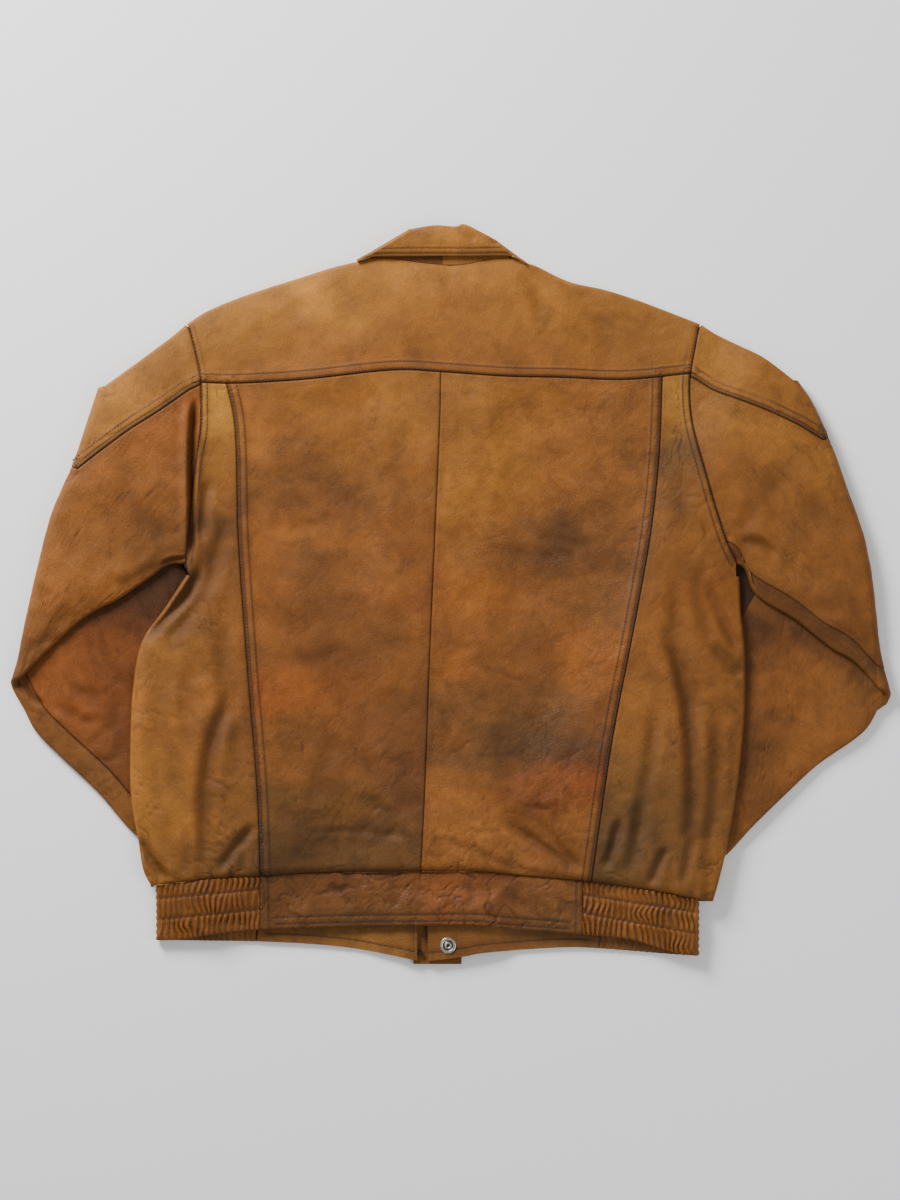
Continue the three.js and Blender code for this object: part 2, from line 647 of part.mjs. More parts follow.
// A point pair of a sleeve row: on a layer at a share of its width, or round one of its edges.
function sleevePair(row, station) {
  const { layer, share = 0, edge, angle } = station;
  const last = row.middle.length - 1;
  const k = edge ? (edge === "over" ? 0 : last) : share * last;
  const i = Math.min(Math.floor(k), last - 1);
  const part = k - i;
  const middlePoint = row.middle[i].clone().lerp(row.middle[i + 1], part);
  const up = row.up[i].clone().lerp(row.up[i + 1], part).normalize();
  const way = edge === "over" ? row.overWay : row.underWay;
  return [row.half + WALL / 2, row.half - WALL / 2].map((r) => {
    const p = middlePoint.clone();
    if (!edge) return p.addScaledVector(up, layer * r);
    return p.addScaledVector(up, r * Math.cos(angle)).addScaledVector(way, r * Math.sin(angle));
  });
}

const onLayer = (layer, from, to, steps) => evenly(steps, from, to).map((share) => ({ layer, share }));
const roundEdge = (edge, from, to) =>
  evenly(FOLD_STEPS, from, to).slice(1, -1).map((angle) => ({ edge, angle: angle * Math.PI }));

// Stations across each sleeve piece, as a function of the row.
const SLEEVE_PIECES = {
  over: (row) => [
    ...onLayer(BACK, row.seamAt - row.gap, 0, 2),
    ...roundEdge("over", 0, 1),
    ...onLayer(FRONT, 0, row.seamAt - row.gap, 2),
  ],
  // The piece that goes round the lower edge, and the one that stops on its own layer.
  round: (row, layer, inset) => {
    const edgeShare = 1 - inset * row.perMm;
    return [
      ...onLayer(layer, row.seamAt + row.gap, 1, 4),
      ...roundEdge("under", layer > 0 ? 0 : 1, layer > 0 ? 1 : 0),
      ...onLayer(-layer, 1, edgeShare + row.gap, 1),
    ];
  },
  flat: (row, layer, inset) =>
    onLayer(layer, row.seamAt + row.gap, 1 - inset * row.perMm - row.gap, 4),
};

for (const s of [LEFT, RIGHT]) {
  const rows = sleeveRows(s);
  const body = rows.slice(0, -1); // the last stretch is the cuff
  const piece = (stations) =>
    new Sheet().grid(body.map((row) => stations(row).map((t) => sleevePair(row, t)))).geometry();
  const backRound = s.underWrap === "back";
  add(`sleeve_over_${s.name}`, piece(SLEEVE_PIECES.over), LEATHER.tan);
  add(`sleeve_back_${s.name}`,
    piece((row) => SLEEVE_PIECES[backRound ? "round" : "flat"](row, BACK, s.underInset)), LEATHER.mid);
  add(`sleeve_front_${s.name}`,
    piece((row) => SLEEVE_PIECES[backRound ? "flat" : "round"](row, FRONT, s.underInset)), LEATHER.mid);

  // Cuff: once round the tube, just beyond the sleeve's end, with its own seam by the lower edge.
  const [near, far] = [rows.at(-2), rows.at(-1)];
  const along3 = far.middle[0].clone().sub(near.middle[0]).normalize().multiplyScalar(3 * SEAM);
  const { overWay, underWay } = far;
  const start = { ...near, middle: near.middle.map((p) => p.clone().add(along3)), overWay, underWay };
  const ring = (row) => [
    ...onLayer(BACK, 1 - (CUFF_SEAM + SEAM) * row.perMm, 0, 2),
    ...roundEdge("over", 0, 1),
    ...onLayer(FRONT, 0, 1, 2),
    ...roundEdge("under", 1, 0),
    ...onLayer(BACK, 1, 1 - CUFF_SEAM * row.perMm, 1),
  ];
  const cuff = new Sheet().grid([start, far].map((row) => ring(row).map((t) => sleevePair(row, t))));
  add(`cuff_${s.name}`, cuff.geometry(), LEATHER.band);
}

// ---------------------------------------------------------------- collar

const COLLAR = {
  edge: [
    [-94, 334], [-80, 336.5], [-40, 337.5], [20, 337.5], [62, 337], [76, 331.5],
  ], // free edge of the fall
  roll: [[-42, 364.5], [-14.5, 368.6], [5, 367.5], [12.5, 369.8], [30, 362], [46, 353.5]],
  standTop: [[-58, 344.5], [-40, 356], [-14, 362], [5, 361], [14, 361.5], [28, 354.5], [44, 343.5]],
  // How far each leaf's outer and inner corner lies from the fold.
  leafLeft: [[26, -98], [5, -97]],
  leafRight: [[-32, -95], [-61, -85]],
};
const standZ = FLAP_LIFT + WALL + HOLLOW + WALL / 2; // middle of the wall level with the yoke
const fallZ = standZ + WALL + FLAP_REST;
{
  const rows = 3;
  const edge = at(curve(COLLAR.edge), evenly(8));
  const roll = at(curve(COLLAR.roll), evenly(8));
  const left = evenly(rows).map((v) => edge[0].clone().lerp(roll[0], v));
  const right = evenly(rows).map((v) => edge[8].clone().lerp(roll[8], v));
  const leafHalf = (fallZ - WALL / 2) / 2;
  const leafMiddle = () => WALL / 2 + leafHalf;
  const rollHalf = (fallZ - standZ) / 2;
  const rollMiddle = () => standZ + rollHalf;
  // Fold axes: in by the leaf fold's radius at the slanted ends, by the roll's along the top.
  const reach = leafHalf + WALL / 2;
  const slant = (a, b) => leftNormals([a, b])[0];
  const leftOut = slant(left[0], left[rows]);
  const rightOut = slant(right[rows], right[0]);
  const leftAxis = left.map((p) => p.clone().addScaledVector(leftOut, -reach));
  const rightAxis = right.map((p) => p.clone().addScaledVector(rightOut, -reach));
  const top = beside(roll, -(rollHalf + WALL / 2));
  top[0] = leftAxis[rows];
  top[8] = rightAxis[rows];
  edge[0] = leftAxis[0];
  edge[8] = rightAxis[0];
  const grid = coons(edge, top, leftAxis, rightAxis);
  const flat = (p) => [raised(p, fallZ + WALL / 2), raised(p, fallZ - WALL / 2)];
  const sheet = new Sheet().grid(grid.map((row) => row.map(flat)));
  const crown = grid.at(-1);
  const neckOuts = leftNormals(crown);
  sheet.grid(foldStrip(crown.slice(2, -2), neckOuts.slice(2, -2), 3, BACK, rollMiddle, rollHalf));
  for (const [axis, out, ends] of [
    [leftAxis, leftOut, COLLAR.leafLeft],
    [rightAxis, rightOut, COLLAR.leafRight],
  ]) {
    const pairs = axis.slice(1).map((p, j) => {
      const v = j / (rows - 1);
      const run = new THREE.Vector3(
        ends[0][0] + (ends[1][0] - ends[0][0]) * v, ends[0][1] + (ends[1][1] - ends[0][1]) * v, 0);
      const round = evenly(FOLD_STEPS).map((t) =>
        folded(p, out, t * Math.PI, 0, BACK, leafMiddle, leafHalf));
      const leaf = [0.25, 0.5, 0.75, 1].map((t) =>
        [0, WALL].map((z) => raised(p.clone().addScaledVector(run, t), z)));
      return [...round, ...leaf];
    });
    sheet.grid(pairs);
  }
  add("collar_fall", sheet.geometry(), LEATHER.tan);

  // Stand: two halves from the neck seam up to the roll; each turns down to the front at its end.
  const standTop = curve(COLLAR.standTop);
  const standMiddle = () => standZ - HALF;
  for (const [name, from, to, run] of [
    ["collar_stand_left", STAND.left, STAND.join, [34, -82]],
    ["collar_stand_right", STAND.join, STAND.right, [-50, -70]],
  ]) {
    const isLeft = name.endsWith("left");
    const bottom = along(NECK_SEAM, evenly(STAND.columns, from, to));
    const ends = isLeft ? [-58, STAND.join] : [STAND.join, 44];
    const topRow = along(standTop, evenly(STAND.columns, ...ends));
    const side = (i) => evenly(2).map((v) => bottom[i].clone().lerp(topRow[i], v));
    const grid2 = seamed(coons(bottom, topRow, side(0), side(STAND.columns)), [isLeft ? "right" : "left"]);
    const sheet2 = new Sheet().grid(grid2.map((row) => row.map((p) => laid(p, BACK, standMiddle))));
    const axis = side(isLeft ? 0 : STAND.columns);
    const out = isLeft ? slant(axis[0], axis[2]) : slant(axis[2], axis[0]);
    sheet2.grid(axis.map((p) => {
      const round = evenly(FOLD_STEPS).map((t) => folded(p, out, t * Math.PI, 0, BACK, standMiddle));
      const tail = [0.5, 1].map((t) =>
        laid(p.clone().add(new THREE.Vector3(run[0] * t, run[1] * t, 0)), FRONT, standMiddle));
      return [...round, ...tail];
    }));
    add(name, sheet2.geometry(), isLeft ? LEATHER.dark : LEATHER.tan);
  }
}

// ---------------------------------------------------------------- flap, zip and snap

{
  const plate = (xs, ys, low, high) =>
    new Sheet()
      .grid(ys.map((y) =>
        xs.map((x) => [high, low].map((level) => new THREE.Vector3(x, y, level(x, y))))))
      .geometry();
  const flapRows = [FLAP.bottom, -325, -300, -275, ...evenly(5, -200, FLAP.top)];
  const flapLow = (x, y) => CAP_LIFT * smooth((-280 - y) / 40);
  const flapHigh = (x, y) => flapLow(x, y) + WALL;
  const flap = plate(evenly(2, FLAP.left, FLAP.right), flapRows, flapLow, flapHigh);
  add("storm_flap", flap, LEATHER.mid);

  const TAPE = 0.8;
  const BRASS = 0x8a6a3a;
  const [ROUGH, METAL] = [0.35, 0.9];
  const ZIP_TOP = 228;
  const ZIP_BOTTOM = -352;
  // A tape lies on its front, a little higher where the snap lifts the band.
  const TAPE_REST = 0.35;
  const SNAP_RISE = 1.3;
  const tapeLow = (x, y) =>
    middle(x, y) - HALF + WALL / 2 + TAPE_REST + SNAP_RISE * smooth((-230 - y) / 30);
  const rowsY = evenly(12, ZIP_BOTTOM, ZIP_TOP);
  for (const [name, a, b] of [["zip_tape_left", -45, -33.5], ["zip_tape_right", -22.5, -11]])
    add(name, plate([a, b], rowsY, tapeLow, (x, y) => tapeLow(x, y) + TAPE), 0x2e2a26, 0.8);
  const teeth = plate([-31, -25], rowsY, () => FLAP_LIFT + 1.2, () => FLAP_LIFT + 3);
  add("zip_chain", teeth, BRASS, ROUGH, METAL);

  const box = (name, [x0, x1], [y0, y1], [z0, z1], colour) => {
    const g = new THREE.BoxGeometry(x1 - x0, y1 - y0, z1 - z0);
    g.translate((x0 + x1) / 2, (y0 + y1) / 2, (z0 + z1) / 2);
    add(name, g, colour, ROUGH, METAL);
  };
  const boxLow = CAP_LIFT + FLAP_LIFT;
  box("zip_box", [-31.5, -24.5], [-362, -352.4], [boxLow, boxLow + 3.2], 0x2a2622);
  box("zip_slider", [-32, -24], [ZIP_TOP + 0.4, ZIP_TOP + 13], [FLAP_LIFT, FLAP_LIFT + 4], BRASS);
  box("zip_pull", [-30.5, -25.5], [ZIP_TOP - 30, ZIP_TOP - 0.2],
    [FLAP_LIFT - 0.1, FLAP_LIFT + 0.9], BRASS);
}

// Ring snap: a cap under the flap, a socket on the flap and a stud on the band's inner face.
function turned(name, profile, z, colour) {
  const geometry = new THREE.LatheGeometry(profile.map(([r, h]) => new THREE.Vector2(r, h)), 20);
  geometry.rotateX(Math.PI / 2);
  geometry.translate(SNAP.x, SNAP.y, z);
  add(name, geometry, colour, 0.3, 1);
}
const disc = (r, h) => [[0, 0], [r, 0], [r, h * 0.6], [r - 0.8, h], [0, h]];
turned("snap_cap", disc(SNAP.capRadius, SNAP.cap), 0, 0x9b958a);
turned("snap_socket", disc(SNAP.socketRadius, SNAP.socket), CAP_LIFT + WALL + 0.3, 0x9b958a);
turned("snap_stud",
  [
    [0, 0], [SNAP.ringRadius, 0], [SNAP.ringRadius, 0.5], [7, 1], [4.4, 0.7], [3.8, 1.4],
    [2.2, 1.4], [1.8, 0.7], [0, 0.7],
  ],
  SNAP_LIFT + WALL + 0.3, 0xa9a397);

export default jacket;
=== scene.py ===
"""A worn tan leather blouson laid face down and flat, back up, with both sleeves folded under.

Every cloth piece is one thin closed shell of leather. Sizes in this file are millimetres, and
meshes are written in metres. The back layer of the body and of both upper arms is one height
over the plane, so neighbours meet at every seam and stitches sit on the leather.
"""
from __future__ import annotations

import logging
import math
from dataclasses import dataclass, field
from enum import Enum
from typing import Callable, ClassVar, Sequence

import bpy
import numpy as np
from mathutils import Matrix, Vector


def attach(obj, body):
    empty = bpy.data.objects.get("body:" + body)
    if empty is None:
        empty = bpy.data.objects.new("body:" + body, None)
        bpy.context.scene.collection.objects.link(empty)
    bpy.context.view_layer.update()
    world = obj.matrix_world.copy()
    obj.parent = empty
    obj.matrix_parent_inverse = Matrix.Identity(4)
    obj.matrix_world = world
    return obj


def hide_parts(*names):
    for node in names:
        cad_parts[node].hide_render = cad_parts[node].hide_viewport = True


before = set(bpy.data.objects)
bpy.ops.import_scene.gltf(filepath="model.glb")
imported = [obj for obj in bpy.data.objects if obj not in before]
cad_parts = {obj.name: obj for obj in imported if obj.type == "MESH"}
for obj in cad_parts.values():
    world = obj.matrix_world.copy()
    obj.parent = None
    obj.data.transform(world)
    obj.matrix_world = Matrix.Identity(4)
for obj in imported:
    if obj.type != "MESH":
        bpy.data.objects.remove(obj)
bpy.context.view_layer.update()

Array = np.ndarray
Point = tuple[float, float]
Field = Callable[[Array, Array], Array]
Socket = bpy.types.NodeSocket
LOG = logging.getLogger("blouson")

MM = 0.001
WALL = 2.0  # leather of the solids
LEATHER = 1.5  # leather of the shells
HALF = 2.7  # from the body's middle surface to the middle of a layer
FOREARM_HALF = 2.2
SLEEVE_LIFT = 7.0
FLAP_LIFT = 2.4
EDGE = HALF + WALL / 2
BACK_TOP = 2 * HALF + WALL  # top of the back layer over the layer it lies on
PUFF = 5.0  # how far the worn leather swells between its edges
STEP = 2.2  # spacing of a grid inside a panel
COARSE = 6.0
TURN_STEPS = 10  # facets round a fold


class Layer(Enum):
    """Which layer of a flattened tube a point is on."""

    BACK = 1
    FRONT = -1


# ------------------------------------------------------------------ plane curves


def spline(points: Sequence[Point], steps: int = 24) -> Array:
    """A smooth line through a few points.

    Centripetal Catmull-Rom: each span is a cubic whose end slopes weigh the neighbouring spans
    by the square root of their lengths.

    Args:
        points: the points it goes through.
        steps: straight pieces in each span.

    Returns:
        The line's points, one a row.
    """
    p = np.asarray(points, float)
    q = np.vstack([2 * p[0] - p[1], p, 2 * p[-1] - p[-2]])
    d = np.sqrt(np.linalg.norm(np.diff(q, axis=0), axis=1))[:, None]
    p0, p1, p2, p3 = q[:-3], q[1:-2], q[2:-1], q[3:]
    d0, d1, d2 = d[:-2], d[1:-1], d[2:]
    t1 = ((p1 - p0) / d0 - (p2 - p0) / (d0 + d1) + (p2 - p1) / d1) * d1
    t2 = ((p2 - p1) / d1 - (p3 - p1) / (d1 + d2) + (p3 - p2) / d2) * d1
    s = np.linspace(0, 1, steps, endpoint=False)[None, :, None]
    cubic = (
        p1[:, None]
        + t1[:, None] * s
        + (-3 * p1 + 3 * p2 - 2 * t1 - t2)[:, None] * s**2
        + (2 * p1 - 2 * p2 + t1 + t2)[:, None] * s**3
    )
    return np.vstack([cubic.reshape(-1, p.shape[1]), p[-1:]])


def at(line: Array, shares: Array) -> Array:
    """Points at the given shares of a line's length."""
    run = np.concatenate([[0], np.cumsum(np.linalg.norm(np.diff(line, axis=0), axis=1))])
    where = np.clip(shares, 0, 1) * run[-1]
    return np.stack([np.interp(where, run, line[:, k]) for k in range(line.shape[1])], axis=-1)


def length_of(line: Array) -> float:
    """Length of a line."""
    return float(np.linalg.norm(np.diff(line, axis=0), axis=1).sum())


def height_at(line: Array, x: Array) -> Array:
    """y of a left-to-right line at x."""
    return np.interp(x, line[:, 0], line[:, 1])


def along(line: Array, x: Array) -> Array:
    """Points of a left-to-right line at the given x."""
    return np.stack([x, height_at(line, x)], axis=-1)


def left_normals(line: Array) -> Array:
    """Unit normals of a line, a quarter turn to the left of travel."""
    d = np.gradient(line, axis=0)[:, :2]
    d /= np.linalg.norm(d, axis=1, keepdims=True)
    return np.stack([-d[:, 1], d[:, 0]], axis=-1)


def beside(line: Array, distance: float) -> Array:
    """A line moved sideways; positive is to the left of travel."""
    return line + left_normals(line) * distance


def graded(length: float, step: float = STEP, zone: int = 9, fine: float = 1.0) -> Array:
    """Shares from 0 to 1 whose steps are fine near both ends and grow to step inside.

    Args:
        length: the run they divide, in millimetres.
        step: spacing inside.
        zone: how many fine steps each end has.
        fine: the fine spacing.

    Returns:
        The shares.
    """
    near = [0.5 * fine, 0.8 * fine] + [fine] * zone + [fine * 1.4, fine * 1.9]
    near = [s for s in near if s < step]
    while 2 * sum(near) > length * 0.8:
        near.pop()
    count = max(1, math.ceil((length - 2 * sum(near)) / step))
    inside = [(length - 2 * sum(near)) / count] * count
    run = np.cumsum([0.0] + near + inside + near[::-1])
    return run / run[-1]


def coons(bottom: Array, top: Array, left: Array, right: Array, u: Array, v: Array) -> Array:
    """A grid of plane points between four border lines.

    Coons patch: the mean of the bottom and top lines across, plus that of the left and right
    lines up, less the mean of the four corners.

    Args:
        bottom: points along the bottom, one for each u.
        top: points along the top.
        left: points up the left, one for each v.
        right: points up the right.
        u: shares across.
        v: shares up.

    Returns:
        Points in rows from bottom to top.
    """
    u, v = u[None, :, None], v[:, None, None]
    low, high = (1 - u) * bottom[0] + u * bottom[-1], (1 - u) * top[0] + u * top[-1]
    across = (1 - v) * bottom[None] + v * top[None]
    return across + (1 - u) * left[:, None] + u * right[:, None] - ((1 - v) * low + v * high)


def smooth(s: Array) -> Array:
    """Smoothstep from 0 to 1."""
    s = np.clip(s, 0, 1)
    return s * s * (3 - 2 * s)


class Noise:
    """Smooth seeded noise from -1 to 1: random lattice values joined by smoothstep."""

    SIZE = 128

    def __init__(self, seed: int) -> None:
        """Draws the lattice."""
        self.lattice = np.random.default_rng(seed).uniform(-1, 1, (self.SIZE, self.SIZE))

    def __call__(self, x: Array, y: Array) -> Array:
        """Value at points given in lattice cells."""
        x0, y0 = np.floor(x).astype(int), np.floor(y).astype(int)
        fx, fy = smooth(x - x0), smooth(y - y0)
        pick = lambda i, j: self.lattice[(x0 + i) % self.SIZE, (y0 + j) % self.SIZE]
        low = pick(0, 0) * (1 - fx) + pick(1, 0) * fx
        high = pick(0, 1) * (1 - fx) + pick(1, 1) * fx
        return low * (1 - fy) + high * fy


def nearest(line: Array, x: Array, y: Array) -> tuple[Array, Array]:
    """Signed distance to a line and the share of its length at the nearest point.

    Args:
        line: the line's points.
        x: x of the points asked about.
        y: y of them.

    Returns:
        Distance, positive to the left of travel, and share, both shaped like x.
    """
    p = np.stack([np.ravel(x), np.ravel(y)], axis=-1)
    a, d = line[:-1], np.diff(line, axis=0)
    size = np.maximum((d * d).sum(1), 1e-12)
    run = np.concatenate([[0], np.cumsum(np.sqrt(size))])
    best, share = np.full(len(p), np.inf), np.zeros(len(p))
    for k in range(len(a)):
        to = p - a[k]
        t = np.clip(to @ d[k] / size[k], 0, 1)
        off = to - t[:, None] * d[k]
        far = np.hypot(off[:, 0], off[:, 1])
        closer = far < np.abs(best)
        side = np.where(d[k, 0] * to[:, 1] - d[k, 1] * to[:, 0] < 0, -1.0, 1.0)
        best = np.where(closer, far * side, best)
        share = np.where(closer, (run[k] + t * (run[k + 1] - run[k])) / run[-1], share)
    return best.reshape(np.shape(x)), share.reshape(np.shape(x))


# ------------------------------------------------------------------ outlines


@dataclass(frozen=True)
class Half:
    """Outlines of one half of the folded garment."""

    name: str
    out: int
    shoulder: tuple[Point, ...]
    armhole: tuple[Point, ...]
    side: tuple[Point, ...]
    overarm: tuple[Point, ...]
    crease: tuple[Point, ...]
    underarm: tuple[Point, ...]
    forearm: tuple[Point, ...]
    inner: tuple[Point, ...]
    over_seam: tuple[float, float, float]
    under_wrap: Layer
    under_inset: float
    front_edge: float
    neckline: tuple[Point, ...]


LEFT = Half(
    name="left",
    out=-1,
    shoulder=((-98, 331.5), (-118, 326.5), (-150, 316.5), (-182, 306.5), (-214, 295.5),
              (-246, 281.5), (-263.5, 270)),
    armhole=((-261.5, 267), (-255, 243), (-249.5, 216), (-248.5, 190), (-249, 163),
             (-254.5, 131), (-258.5, 95), (-261, 62), (-264, 34)),
    side=((-298, -292), (-306, -277), (-312, -243), (-318.5, -205), (-319.5, -151),
          (-316, -85), (-307, -45), (-284, -12), (-263, 20)),
    overarm=((-263.5, 270), (-277.5, 258.5), (-311.5, 232.5), (-348, 206)),
    crease=((-349, 204), (-376.5, 130), (-396.5, 85.5), (-412, 27), (-421.5, -25),
            (-423.5, -62), (-425.5, -88)),
    underarm=((-264, 30.3), (-281, 29.5), (-298.5, 17.5), (-329.5, -3.5), (-363.5, -22.5),
              (-396.5, -51.5), (-427, -82.5)),
    forearm=((-427, -113), (-415, -136), (-392, -160), (-354, -196), (-311, -243),
             (-277, -257), (-243, -257)),
    inner=((-350, 186), (-300, 92), (-238, -25), (-158, -182)),
    over_seam=(0.25, 0.27, 0.3),
    under_wrap=Layer.BACK,
    under_inset=22,
    front_edge=-33,
    neckline=((-98, 318), (-90, 297), (-74, 268), (-54, 248), (-33, 240)),
)
RIGHT = Half(
    name="right",
    out=1,
    shoulder=((82, 329.5), (90, 326), (105.5, 318), (121.5, 311.5), (153.5, 304.5),
              (185.5, 294.5), (217.5, 282.5), (249.5, 270)),
    armhole=((248, 267), (245, 250), (241.5, 231), (239, 212), (241, 175), (254, 124),
             (267, 79), (277, 50), (285, 34)),
    side=((262, -306), (268, -285), (275, -256), (284, -208), (291.5, -147), (294.5, -87),
          (293.5, -50), (289.5, -15), (288.5, 18)),
    overarm=((249.5, 270), (264.5, 260.5), (288.5, 248.5), (312.5, 236.5), (345, 212)),
    crease=((346, 211), (361.5, 188.5), (378.5, 152.5), (397, 102), (411, 62), (420.5, 10),
            (423.5, -40), (426.3, -88)),
    underarm=((286, 30.3), (293, 25), (303.5, 0.5), (344.5, -26.5), (378.5, -53.5),
              (402.5, -67.5), (427, -94)),
    forearm=((428, -113), (414.5, -135.5), (365.5, -171.5), (339.5, -195.5), (302.5, -231.5),
             (271, -264), (244, -276)),
    inner=((347, 194), (300, 95), (238, -25), (156, -194)),
    over_seam=(0.21, 0.2, 0.28),
    under_wrap=Layer.FRONT,
    under_inset=20,
    front_edge=-23,
    neckline=((82, 318), (60, 294), (30, 265), (2, 246), (-23, 240)),
)
HALVES = (LEFT, RIGHT)

YOKE_SEAM = spline([(-249, 211.5), (-223, 210.5), (-146, 214.5), (-52, 224), (-9.5, 222),
                    (57, 217.5), (110, 216.5), (175, 214.5), (239.5, 220.5)])
CENTRE_SEAM = spline([(-29.5, -276.5), (-25.5, -195), (-20.5, -57.5), (-16.5, 34.5),
                      (-10.5, 174.5), (-9.5, 222)])
PRINCESS = {
    "left": spline([(-189.5, -281), (-192.5, -195.5), (-203.5, -57.5), (-211.5, 61.5),
                    (-215.5, 172.5), (-223.5, 210.5)]),
    "right": spline([(140.5, -286.5), (160.5, -149.5), (185.5, -19.5), (200.5, 66.5),
                     (208.5, 142.5), (211.5, 217)]),
}
HEM_SEAM = spline([(-297, -290), (-240, -283.5), (-190, -281), (-128.5, -277.5),
                   (29.5, -276.5), (59.5, -279.5), (137.5, -286.5), (200, -295), (262, -307)])
BACK_BAND_EDGE = spline([(-293, -345.5), (-271.5, -344.5), (-222.5, -337), (-188.5, -334.5),
                         (-50.5, -331), (29.5, -330.5), (60, -334), (131.5, -339.5),
                         (178.5, -344.5), (228.5, -358.5), (244, -360.5)])
FRONT_HEM_SEAM = spline([(-299, -290.5), (-290, -289.5), (-240, -292), (-193, -296),
                         (-120, -300), (-33, -312), (-23, -311), (60, -303), (148, -302),
                         (200, -302), (244, -304), (262, -307)])
FRONT_BAND_EDGE = spline([(-293, -345.5), (-246.5, -345.5), (-150.5, -348.5), (-97.5, -353.5),
                          (-52.5, -361.5), (-28, -366), (11, -362), (29.5, -358.5),
                          (50.5, -356.5), (120.5, -352.5), (146.5, -353.5), (211.5, -358.5),
                          (244, -360.5)])
NECK_SEAM = spline([(-82, 336), (-56.5, 335.2), (-25, 330.8), (7.5, 329.3), (43.5, 335.2),
                    (64, 336)])
BAND_SIDES = {"left": -294.0, "right": 248.0}
BAND_CENTRE = {"left": -190.5, "right": 132.5}
BAND_FRONT = {"left": -193.0, "right": 148.0}
SEAM = 0.3  # gap between sewn neighbours
SNAP = (-2.5, -350.5)
CAP_LIFT = 1.4
SNAP_LIFT = 5.1
FLAP = (-37.0, 11.0, -369.3, 240.0)
ZIP_RUN = (-327.0, 228.0)
STAND_ENDS = (-76.0, -7.5, 58.0)
ROLL = ((-42, 364.5), (-14.5, 368.6), (5, 367.5), (12.5, 369.8), (30, 362), (46, 353.5))
FALL_EDGE = ((-94, 334), (-80, 336.5), (-40, 337.5), (20, 337.5), (62, 337), (76, 331.5))
STAND_TOP = ((-58, 344.5), (-40, 356), (-14, 362), (5, 361), (14, 361.5), (28, 354.5),
             (44, 343.5))
STAND_Z = FLAP_LIFT + 2 * HALF + WALL / 2
FALL_Z = STAND_Z + WALL + 0.4


# ------------------------------------------------------------------ heights


@dataclass(frozen=True)
class Underlay:
    """Something under the fronts that lifts the layers above it."""

    corners: tuple[Point, ...]
    lift: float
    level: float
    slope: float

    def height(self, x: Array, y: Array) -> Array:
        """Full lift to `level` outside the corners, then a smooth fall over `slope`."""
        c = np.array(self.corners, float)
        centre = c.mean(0)
        far = np.full(np.shape(x), -np.inf)
        for (ax, ay), (bx, by) in zip(c, np.roll(c, -1, axis=0)):
            size = math.hypot(bx - ax, by - ay)
            inward = ((bx - ax) * (centre[1] - ay) - (by - ay) * (centre[0] - ax)) / size
            side = ((bx - ax) * (y - ay) - (by - ay) * (x - ax)) / size
            far = np.maximum(far, -side * math.copysign(1, inward))
        return self.lift * smooth(1 - (far - self.level) / self.slope)


UNDERLAYS = tuple(
    Underlay((h.crease[0], (h.out * 426.0, -88.0), (h.out * 428.0, -113.0), h.forearm[-1],
              h.inner[-1]), SLEEVE_LIFT, 34, 62)
    for h in HALVES
) + (
    Underlay(((-37, -369.3), (11, -369.3), (11, 240), (-37, 240)), FLAP_LIFT, 22, 36),
    Underlay(((-12.5, -370.5), (7.5, -370.5), (7.5, -340.5), (-12.5, -340.5)), SNAP_LIFT, 26, 36),
    Underlay(((-100, 345), (-104, 240), (-30, 240), (-42, 364)), FLAP_LIFT, 22, 36),
    Underlay(((82, 345), (88, 240), (14, 240), (48, 364)), FLAP_LIFT, 22, 36),
)


def lift(x: Array, y: Array) -> Array:
    """Height of the surface that the fronts lie on."""
    return np.max([u.height(x, y) for u in UNDERLAYS], axis=0)


def middle(x: Array, y: Array) -> Array:
    """Height of the body's middle surface."""
    return lift(x, y) + WALL / 2 + HALF


OUTLINE = [
    at(spline(points), np.linspace(0, 1, count))
    for h in HALVES
    for points, count in ((h.side, 16), (h.underarm, 12), (h.crease, 14), (h.overarm, 6),
                          (h.shoulder, 10))
] + [at(NECK_SEAM, np.linspace(0, 1, 8))]


def swell(x: Array, y: Array) -> Array:
    """Puff of the upper layer: none at the outline, full a few centimetres inside."""
    far = np.min([np.abs(nearest(line, x, y)[0]) for line in OUTLINE], axis=0)
    over_hem = np.clip((y - height_at(HEM_SEAM, x)) / 9.0, 0, 1)
    roll = np.sqrt(1 - (1 - over_hem) ** 2)
    return PUFF * (1 - np.exp(-far / 20)) * (0.12 + 0.88 * roll)


@dataclass(frozen=True)
class Fold:
    """A trough pressed into the leather, or a ridge where depth is below zero."""

    SHADE: ClassVar[float] = 0.26  # how dark a trough gets for each millimetre of depth
    DEEP: ClassVar[float] = 1.2  # deeper troughs than this are pressed in harder
    HARDER: ClassVar[float] = 1.75

    points: tuple[Point, ...]
    width: float
    depth: float
    soft_ends: float = 0.25

    def press(self, x: Array, y: Array) -> tuple[Array, Array]:
        """Height change and how much the fold shades the leather.

        The section is a bell with raised shoulders, depth (1 - q/2) exp(-q/2) with q the
        squared distance over the width, and it fades at both ends.
        """
        line = spline(self.points, 10) if len(self.points) > 2 else np.array(self.points, float)
        dz, dark = np.zeros(np.shape(x)), np.zeros(np.shape(x))
        reach = 4 * self.width
        near = (
            (x > line[:, 0].min() - reach) & (x < line[:, 0].max() + reach)
            & (y > line[:, 1].min() - reach) & (y < line[:, 1].max() + reach)
        )
        if near.any():
            d, share = nearest(line, x[near], y[near])
            ends = smooth(np.minimum(share, 1 - share) / self.soft_ends + 0.05)
            q = (d / self.width) ** 2
            deep = self.depth * (self.HARDER if self.depth > self.DEEP else 1.0)
            dz[near] = -deep * (1 - 0.5 * q) * np.exp(-0.5 * q) * ends
            dark[near] = self.SHADE * max(self.depth, 0) * np.exp(-0.6 * q) * ends
        return dz, dark


